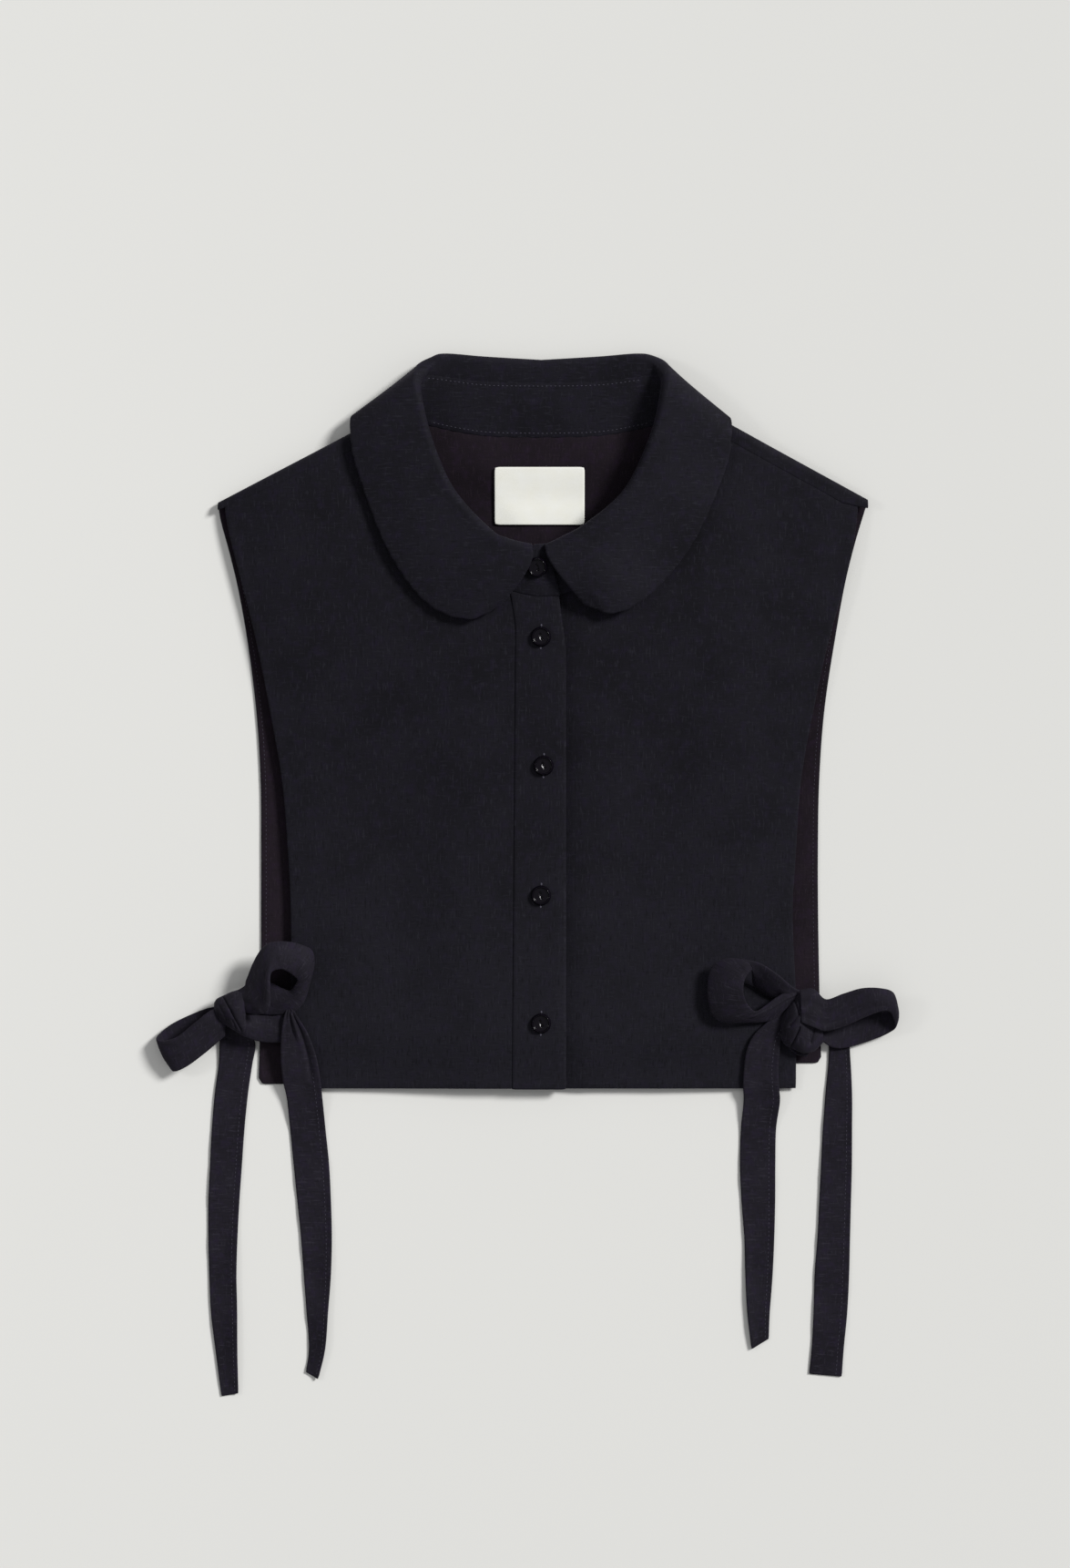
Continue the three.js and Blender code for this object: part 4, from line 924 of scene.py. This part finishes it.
def strap_grid(name, knot, rows, steps, folds, swell, thickness, seed):
    """Strap between two edge curves through the stations.

    Across, it swells by a parabola along the strap's normal. Near the knot it gathers into
    cosine folds across its width, fading with the distance from the ends at the knot. A ridge
    is a bell curve across, eased in and out along the strap. Low lattice noise crumples it.
    """
    s = np.linspace(0.0, 1.0, steps)
    columns = [curve_through(column, s) for column in zip(*rows)]
    a = knot + np.stack(columns[:3], -1)
    b = knot + np.stack(columns[3:], -1)
    u = np.linspace(0.0, 1.0, 25)[None, :]
    grid = lerp(a[:, None], b[:, None], u[..., None])
    along = np.gradient((a + b) / 2, axis=0)
    normal = unit(np.cross(b - a, along))[:, None]
    walked = walked_along((a + b) / 2)
    ends = np.exp(-walked / 12.0)
    if "loop" in name:
        ends = ends + np.exp(-(walked[-1] - walked) / 12.0)
    crumple = lattice_noise(walked[:, None] + 40.0 * seed, u * 20.0, 9.0, seed)
    fold_turns = 2.3 * u + 0.15 * seed
    height = (swell * 4 * u * (1 - u) + folds * ends[:, None] * np.cos(2 * math.pi * fold_turns)
              + 0.24 * crumple)
    for rise, place, breadth, start, end in RIDGES.get(name, ()):
        window = smooth((s - start) / 0.05) * smooth((end - s) / 0.07)
        height = height + rise * window[:, None] * np.exp(-((u - place) / breadth) ** 2)
    grid = grid + normal * height[..., None]
    grid[..., 2] = np.maximum(grid[..., 2], thickness / 2 + 0.05)
    return grid


def knot_grid(knot, rows, creases):
    """Wrap of a knot: an oval sleeve through its stations, pinched at both ends.

    Every crease is a valley on the upper side, a bell curve of the distance from its line.
    """
    s = np.linspace(0.0, 1.0, 81)
    x, y, wide, level, high = (curve_through(column, s)[:, None] for column in zip(*rows))
    angle = np.linspace(0.0, 2 * math.pi, 121)[None, :-1]
    across, up = np.cos(angle), np.sin(angle)
    px = x + 0 * angle
    py = y + wide * across * (1 + 0.02 * np.cos(5 * angle + 9 * s[:, None]))
    pz = level + high * up * (1 + 0.05 * np.cos(3 * angle + 4 * s[:, None]))
    pz = pz + 0.25 * lattice_noise(px + 50, py + 50, 4.0, 8) * smooth(up * 2)
    for x0, y0, x1, y1, depth, breadth in creases:
        run = np.array((x1 - x0, y1 - y0))
        t = np.clip(((px - x0) * run[0] + (py - y0) * run[1]) / (run @ run), 0, 1)
        away = np.hypot(px - x0 - t * run[0], py - y0 - t * run[1])
        pz = pz - depth * np.exp(-(away / breadth) ** 2) * smooth(up * 3)
    return knot + np.stack([px, py, pz], -1)


def bow(side, knot, straps, wrap, creases):
    """All pieces of one bow: its straps, the stitches on its tails and the knot's wrap."""
    mats = finishes()
    tie = bpy.context.scene.collar_sizes.tie / MM
    start, first_seed = ("left_", 0) if side < 0 else ("right_", 3)
    for seed, (kind, rows) in enumerate(straps.items(), first_seed):
        name = start + kind
        steps, folds, swell, wide, length = PLAN[name]
        grid = strap_grid(name, knot, rows, steps, folds, swell, tie, seed)
        obj = cloth(name + "_cloth", grid, tie, arc_uv(grid), mats["crepe_tie"])
        settle(obj, "crepe", name)
        if "tail" in kind:
            near_edge = grid[10:, 20]
            path = near_edge + np.array((0.0, 0.0, tie / 2 + 0.02))
            up = np.tile((0.0, 0.0, 1.0), (len(path), 1))
            settle(stitches(name + "_stitches", path, up, mats["thread"]), "crepe")
    grid = knot_grid(knot, wrap, creases)
    obj = cloth(start + "knot_cloth", grid, tie, arc_uv(grid), mats["crepe_tie"], ring=True)
    settle(obj, "crepe", start + "knot")


# Buttons

def button_mesh(name, x, y, z, tilt, slant, finish):
    """Turned button as a disc of rings.

    The upper height is a dished middle, a bell-curve rim, an almond hollow along a slanted line
    and two pits for the holes; the under side is flat with a rounded edge.
    """
    r = BUTTON_RADIUS
    ring = np.concatenate([np.linspace(0.0, 0.7, 30), np.linspace(0.7, 1.0, 18)[1:]])[:, None]
    turn = np.linspace(0.0, 2 * math.pi, 97)[None, :-1]
    px, py = r * ring * np.cos(turn), r * ring * np.sin(turn)
    rim = np.exp(-((ring - 0.83) / 0.065) ** 2)
    outer = np.clip((1.0 - ring) / 0.1, 0, 1)
    high = 1.1 + 0.25 * ring ** 2 + 0.95 * rim * np.sqrt(outer)
    high = high * np.sqrt(np.clip(1 - (np.maximum(ring - 0.88, 0) / 0.12) ** 2, 0.12, 1))
    c, s = math.cos(slant), math.sin(slant)
    along, aside = px * s + py * c, px * c - py * s
    almond = smooth(1.25 - np.sqrt((along / 3.3) ** 2 + (aside / 0.95) ** 2))
    high = high - 0.4 * almond
    for way in (-1, 1):
        away = np.hypot(along - way * 1.35, aside)
        high = high - 1.3 * smooth((0.72 - away) / 0.22)
    high = np.maximum(high, 0.25)
    top = np.stack([px, py, high + 0 * px], -1)
    under_ring = np.linspace(1.0, 0.0, 8)[:, None]
    base = np.where(under_ring > 0.86, 0.5 * ((under_ring - 0.86) / 0.14) ** 2, 0.0)
    under = np.stack([0.98 * r * under_ring * np.cos(turn), 0.98 * r * under_ring * np.sin(turn),
                      base + 0 * turn], -1)
    rows = np.concatenate([top[1:], under[:-1]])
    verts = np.concatenate([[top[0, 0]], rows.reshape(-1, 3), [under[-1, 0]]])
    count = turn.shape[1]
    faces = grid_faces(len(rows), count, ring=True)[:, ::-1] + 1
    k = np.arange(count)
    nxt = (k + 1) % count
    first = np.stack([np.zeros(count, int), 1 + k, 1 + nxt], -1)
    tail = 1 + (len(rows) - 1) * count
    last = np.stack([np.full(count, len(verts) - 1), tail + nxt, tail + k], -1)
    c, s = math.cos(tilt), math.sin(tilt)
    verts = verts @ np.array(((1, 0, 0), (0, c, s), (0, -s, c))) + np.array((x, y, z))
    return put_mesh(name, verts, faces.tolist() + first.tolist() + last.tolist(), None, finish)


def thread_ovals(name, places, finish):
    """Wound thread at the ends of the buttonholes: half-buried ovals, as rings of a sphere
    stretched to their half length, breadth and height."""
    turn = np.linspace(0.0, 2 * math.pi, 17)[None, :-1]
    tilt = np.linspace(-1.48, 1.48, 9)[:, None]
    ball = np.stack([np.sin(tilt) + 0 * turn, np.cos(tilt) * np.cos(turn),
                     np.cos(tilt) * np.sin(turn)], -1) * np.array((0.5, 0.75, 0.35))
    verts = (np.asarray(places)[:, None, None] + ball[None]).reshape(-1, 3)
    side = grid_faces(9, 16, ring=True)
    k = np.arange(1, 15, 2)
    low = np.stack([0 * k, k, k + 1, (k + 2) % 16], -1)
    one = np.concatenate([side, low, 128 + low[:, ::-1]])
    faces = (one[None] + 144 * np.arange(len(places))[:, None, None]).reshape(-1, 4)
    return put_mesh(name, verts, faces, np.zeros((len(verts), 2)), finish)


BUTTONS = (
    # number, x, y, slant of the hollow in degrees
    (1, -2.3, 105.4, -14), (2, -0.25, 67.5, -22), (3, 1.2, -3.0, -26),
    (4, -0.25, -74.0, -20), (5, -0.25, -144.0, -24))


def button_place(number, x, y):
    """Height and tilt of a button. The first lies on the stand's tab, which rises 3.6 mm over
    20.6 mm; the others lie flat on the placket."""
    if number == 1:
        return front_z(0, 92.0) + OVERLAP_LIFT + 4.2, math.atan(3.6 / 20.6)
    return placket_z(x, y) + 1.0, 0.0


# Settings

class CollarSizes(bpy.types.PropertyGroup):
    """Thicknesses of the collar's cloth and the pitch of its seam stitches."""
    panel: FloatProperty(name="Panel cloth", description="Thickness of the back and front cloth",
                         default=0.0010, min=0.0004, max=0.0014, unit="LENGTH")
    collar: FloatProperty(name="Collar cloth", description="Thickness of the stand and the fall",
                          default=0.0019, min=0.001, max=0.0022, unit="LENGTH")
    tie: FloatProperty(name="Tie cloth", description="Thickness of the ties",
                       default=0.0011, min=0.0005, max=0.0013, unit="LENGTH")
    pitch: FloatProperty(name="Stitch pitch", description="Distance between seam stitches",
                         default=0.0024, min=0.001, max=0.005, unit="LENGTH")


class CollarTones(bpy.types.PropertyGroup):
    """Colours of the collar's finishes."""
    crepe: FloatVectorProperty(name="Crepe", description="Right side of the cloth",
                               subtype="COLOR", default=(0.0089, 0.0082, 0.0125))
    crepe_inside: FloatVectorProperty(name="Crepe, wrong side", description="Inside of the back",
                                      subtype="COLOR", default=(0.0138, 0.0091, 0.0138))
    tie: FloatVectorProperty(name="Ties", description="Cloth of the ties", subtype="COLOR",
                             default=(0.0147, 0.0127, 0.0194))
    label: FloatVectorProperty(name="Label", description="Bare neck label", subtype="COLOR",
                               default=(0.95, 0.955, 0.925))
    thread: FloatVectorProperty(name="Thread", description="Seam stitches", subtype="COLOR",
                                default=(0.085, 0.08, 0.11))
    button: FloatVectorProperty(name="Buttons", description="Polished buttons", subtype="COLOR",
                                default=(0.0022, 0.0014, 0.0034))
    floor: FloatVectorProperty(name="Floor", description="Pale ground", subtype="COLOR",
                               default=(0.795, 0.79, 0.757))


class CollarLight(bpy.types.PropertyGroup):
    """Strength of the studio light."""
    sun: FloatProperty(name="Sun", description="Strength of the light from the upper right",
                       default=3.2, min=0.0)
    spread: FloatProperty(name="Sun spread", description="Width of the sun, for soft shadows",
                          default=math.radians(15), min=0.0, subtype="ANGLE")
    fill: FloatProperty(name="Fill light", description="Power of the small light, left",
                        default=3.0, min=0.0, unit="POWER")
    sky: FloatProperty(name="Surrounding light", description="Strength of the pale surroundings",
                       default=0.32, min=0.0)


# Operators

class COLLAR_OT_stage(bpy.types.Operator):
    """Make the pale floor, the studio lights and the camera straight above"""
    bl_idname = "collar.stage"
    bl_label = "Stage"

    def execute(self, context):
        scene = context.scene
        light = scene.collar_light
        scene.view_settings.view_transform = "Standard"
        tone = tuple(scene.collar_tones.floor)
        mat, tree, bsdf = shader("ground", tone, 0.9, 0.15)
        coordinates = node(tree, "ShaderNodeTexCoord").outputs["Object"]
        cloudy = node(tree, "ShaderNodeTexNoise", Scale=3.0, Detail=2.0)
        tree.links.new(coordinates, cloudy.inputs["Vector"])
        colour = mixed(tree, tuple(0.985 * c for c in tone), tone, cloudy.outputs["Fac"])
        tree.links.new(colour, bsdf.inputs["Base Color"])
        far = 4000.0
        corners = ((-far, -far, 0), (far, -far, 0), (far, far, 0), (-far, far, 0))
        floor = put_mesh("floor", corners, [(0, 1, 2, 3)], None, mat)
        world = bpy.data.worlds.new("pale_surroundings")
        world.use_nodes = True
        background = world.node_tree.nodes["Background"]
        background.inputs["Color"].default_value = (0.96, 0.97, 1.0, 1.0)
        background.inputs["Strength"].default_value = light.sky
        scene.world = world
        lamps = (("sun", "SUN", (0.74, 0.45, 0.62), light.sun),
                 ("fill", "AREA", (-1.5, 0.3, 1.1), light.fill))
        for name, kind, place, power in lamps:
            lamp = bpy.data.lights.new(name, kind)
            lamp.energy = power
            if kind == "SUN":
                lamp.angle = light.spread
            else:
                lamp.size = 0.3
            holder = bpy.data.objects.new(name, lamp)
            holder.location = place
            holder.rotation_euler = (-holder.location).to_track_quat("-Z", "Y").to_euler()
            scene.collection.objects.link(holder)
        camera = bpy.data.cameras.new("camera")
        camera.sensor_width = SENSOR
        camera.lens = SENSOR * CAMERA_M[2] / VIEW_HEIGHT_M
        camera.clip_end = 20.0
        holder = bpy.data.objects.new("camera", camera)
        holder.location = CAMERA_M
        scene.collection.objects.link(holder)
        scene.camera = holder
        return {"FINISHED"}


class COLLAR_OT_back_panel(bpy.types.Operator):
    """Build the back panel, curled over at both shoulders"""
    bl_idname = "collar.back_panel"
    bl_label = "Back panel"

    def execute(self, context):
        grid, keep = back_panel_grid()
        panel = context.scene.collar_sizes.panel / MM
        mats = finishes()
        obj = cloth("back_panel_cloth", grid, panel, grid[..., :2], mats["crepe_inside"], keep=keep)
        obj.data.materials.append(mats["crepe"])
        finish_of = np.ones(len(obj.data.polygons), np.int32)
        finish_of[:np.count_nonzero(keep)] = 0
        obj.data.polygons.foreach_set("material_index", finish_of)
        settle(obj, "crepe_inside", "back_panel")
        return {"FINISHED"}


class COLLAR_OT_fronts(bpy.types.Operator):
    """Build the left and the right front panel"""
    bl_idname = "collar.fronts"
    bl_label = "Front panels"

    def execute(self, context):
        panel = context.scene.collar_sizes.panel / MM
        # Side, node, and x of the middle edge at the neck and at the hem
        fronts = ((-1, "left_front", -14.3, -16.3), (1, "right_front", -12.1, -12.1))
        for side, name, top, hem in fronts:
            grid = front_grid(side, top, hem)
            obj = cloth(name + "_cloth", grid, panel, grid[..., :2], finishes()["crepe"])
            settle(obj, "crepe", name)
        return {"FINISHED"}


class COLLAR_OT_placket(bpy.types.Operator):
    """Build the button placket down the left front's edge"""
    bl_idname = "collar.placket"
    bl_label = "Placket"

    def execute(self, context):
        grid = placket_grid()
        obj = cloth("placket_cloth", grid, PLACKET_CLOTH, grid[..., :2], finishes()["crepe"])
        settle(obj, "crepe", "placket")
        return {"FINISHED"}


class COLLAR_OT_collar(bpy.types.Operator):
    """Build the collar's stand and its folded fall"""
    bl_idname = "collar.collar"
    bl_label = "Collar stand and fall"

    def execute(self, context):
        thick = context.scene.collar_sizes.collar / MM
        mats = finishes()
        grid = stand_grid()
        obj = cloth("collar_stand_cloth", grid, thick, grid[..., :2], mats["crepe_across"])
        settle(obj, "crepe", "collar_stand")
        right = fall_grid(1)[:, ::-1]
        left = fall_grid(-1)
        grid = np.concatenate([right, left[:, 1:]], axis=1)
        obj = cloth("collar_fall_cloth", grid, thick, grid[..., :2], mats["crepe_across"], rounds=6)
        settle(obj, "crepe", "collar_fall")
        return {"FINISHED"}


class COLLAR_OT_label(bpy.types.Operator):
    """Build the bare neck label"""
    bl_idname = "collar.label"
    bl_label = "Neck label"

    def execute(self, context):
        u = np.linspace(-1.0, 1.0, 61)[None]
        v = np.linspace(-1.0, 1.0, 41)[:, None]
        corner = smooth((np.abs(u) - 0.9) / 0.1) * smooth((np.abs(v) - 0.86) / 0.14)
        middle_x, middle_y, half_width, half_height = -1.0, 145.0, 24.4, 15.5
        x = middle_x + half_width * u * (1 - 0.012 * corner)
        y = middle_y + half_height * v * (1 - 0.02 * corner)
        z = back_z(x, y) + 1.75 + 0.12 * (1 + lattice_noise(x, y, 12, 4))
        grid = np.stack([x, y, z], -1)
        obj = cloth("neck_label_cloth", grid, LABEL_CLOTH, grid[..., :2], finishes()["label"])
        settle(obj, "label", "neck_label")
        return {"FINISHED"}


class COLLAR_OT_buttons(bpy.types.Operator):
    """Build the five buttons"""
    bl_idname = "collar.buttons"
    bl_label = "Buttons"

    def execute(self, context):
        mats = finishes()
        for number, x, y, slant in BUTTONS:
            z, tilt = button_place(number, x, y)
            obj = button_mesh(f"button_{number}_disc", x, y, float(z), tilt, math.radians(slant),
                              mats["button"])
            settle(obj, "button", f"button_{number}")
        return {"FINISHED"}


class COLLAR_OT_bows(bpy.types.Operator):
    """Build the two side bows: knots, loops, tails and tie roots"""
    bl_idname = "collar.bows"
    bl_label = "Side bows"

    def execute(self, context):
        bow(-1, KNOT_LEFT, LEFT_STRAPS, LEFT_KNOT, LEFT_CREASES)
        bow(1, KNOT_RIGHT, RIGHT_STRAPS, RIGHT_KNOT, RIGHT_CREASES)
        return {"FINISHED"}


class COLLAR_OT_stitching(bpy.types.Operator):
    """Build the stitch rows on the stand and the back, and the buttonholes' thread"""
    bl_idname = "collar.stitching"
    bl_label = "Stitching"

    def execute(self, context):
        mats = finishes()
        pitch = context.scene.collar_sizes.pitch / MM
        panel = context.scene.collar_sizes.panel / MM
        grid = stand_grid()
        faces = grid_faces(*grid.shape[:2])
        normal = point_normals(grid.reshape(-1, 3), faces).reshape(grid.shape)
        up = np.where(normal[..., 2:] < 0, -normal, normal)
        # Name, row of the stand's grid, and x where the row starts and ends
        rows = (("upper_seam_stitches", 15, -63.0, 53.0), ("lower_seam_stitches", 1, -60.0, 59.0))
        for name, row, left, right in rows:
            path = grid[row] + up[row] * 0.98
            obj = stitches(name, path, up[row], mats["thread"], pitch, SEAM_STITCH_RADIUS,
                           lambda p: (p[:, 0] < left) | (p[:, 0] > right) | (p[:, 1] < 165.0))
            settle(obj, "crepe")
        y = np.linspace(-150.0, 125.0, 200)
        for name, side in (("left_edge_stitches", -1), ("right_edge_stitches", 1)):
            x = side * (side_x("back", y, side) - 2.2)
            path = np.stack([x, y, back_cloth_z(x, y) + panel / 2 + 0.02], -1)
            obj = stitches(name, path, np.tile((0.0, 0.0, 1.0), (len(y), 1)), mats["thread"])
            settle(obj, "crepe")
        ends = []
        for _, x, y, _ in BUTTONS[1:]:
            for way in (-1, 1):
                place = y + way * 6.2
                z = placket_z(x, place) + 0.9
                ends.append((x + 0.2 * way, place, float(z)))
        obj = thread_ovals("buttonhole_ends", ends, mats["thread"])
        settle(obj, "crepe")
        return {"FINISHED"}


class COLLAR_PT_panel(bpy.types.Panel):
    """Sidebar panel with the collar's settings and pieces"""
    bl_label = "Collar"
    bl_idname = "COLLAR_PT_panel"
    bl_space_type = "VIEW_3D"
    bl_region_type = "UI"
    bl_category = "Collar"

    def draw(self, context):
        layout = self.layout
        for group in (context.scene.collar_sizes, context.scene.collar_tones,
                      context.scene.collar_light):
            box = layout.box()
            for key in group.__annotations__:
                box.prop(group, key)
        for step in STEPS:
            layout.operator(step.bl_idname)


STEPS = (COLLAR_OT_stage, COLLAR_OT_back_panel, COLLAR_OT_fronts, COLLAR_OT_placket,
         COLLAR_OT_collar, COLLAR_OT_label, COLLAR_OT_buttons, COLLAR_OT_bows,
         COLLAR_OT_stitching)
GROUPS = (CollarSizes, CollarTones, CollarLight)


def register():
    """Registers the settings, the operators and the panel."""
    for item in (*GROUPS, *STEPS, COLLAR_PT_panel):
        bpy.utils.register_class(item)
    bpy.types.Scene.collar_sizes = PointerProperty(type=CollarSizes)
    bpy.types.Scene.collar_tones = PointerProperty(type=CollarTones)
    bpy.types.Scene.collar_light = PointerProperty(type=CollarLight)


def unregister():
    """Removes what register added."""
    del bpy.types.Scene.collar_light
    del bpy.types.Scene.collar_tones
    del bpy.types.Scene.collar_sizes
    for item in (COLLAR_PT_panel, *reversed(STEPS), *reversed(GROUPS)):
        bpy.utils.unregister_class(item)


def main():
    register()
    for step in STEPS:
        group, name = step.bl_idname.split(".")
        getattr(getattr(bpy.ops, group), name)()


if __name__ == "__main__":
    main()
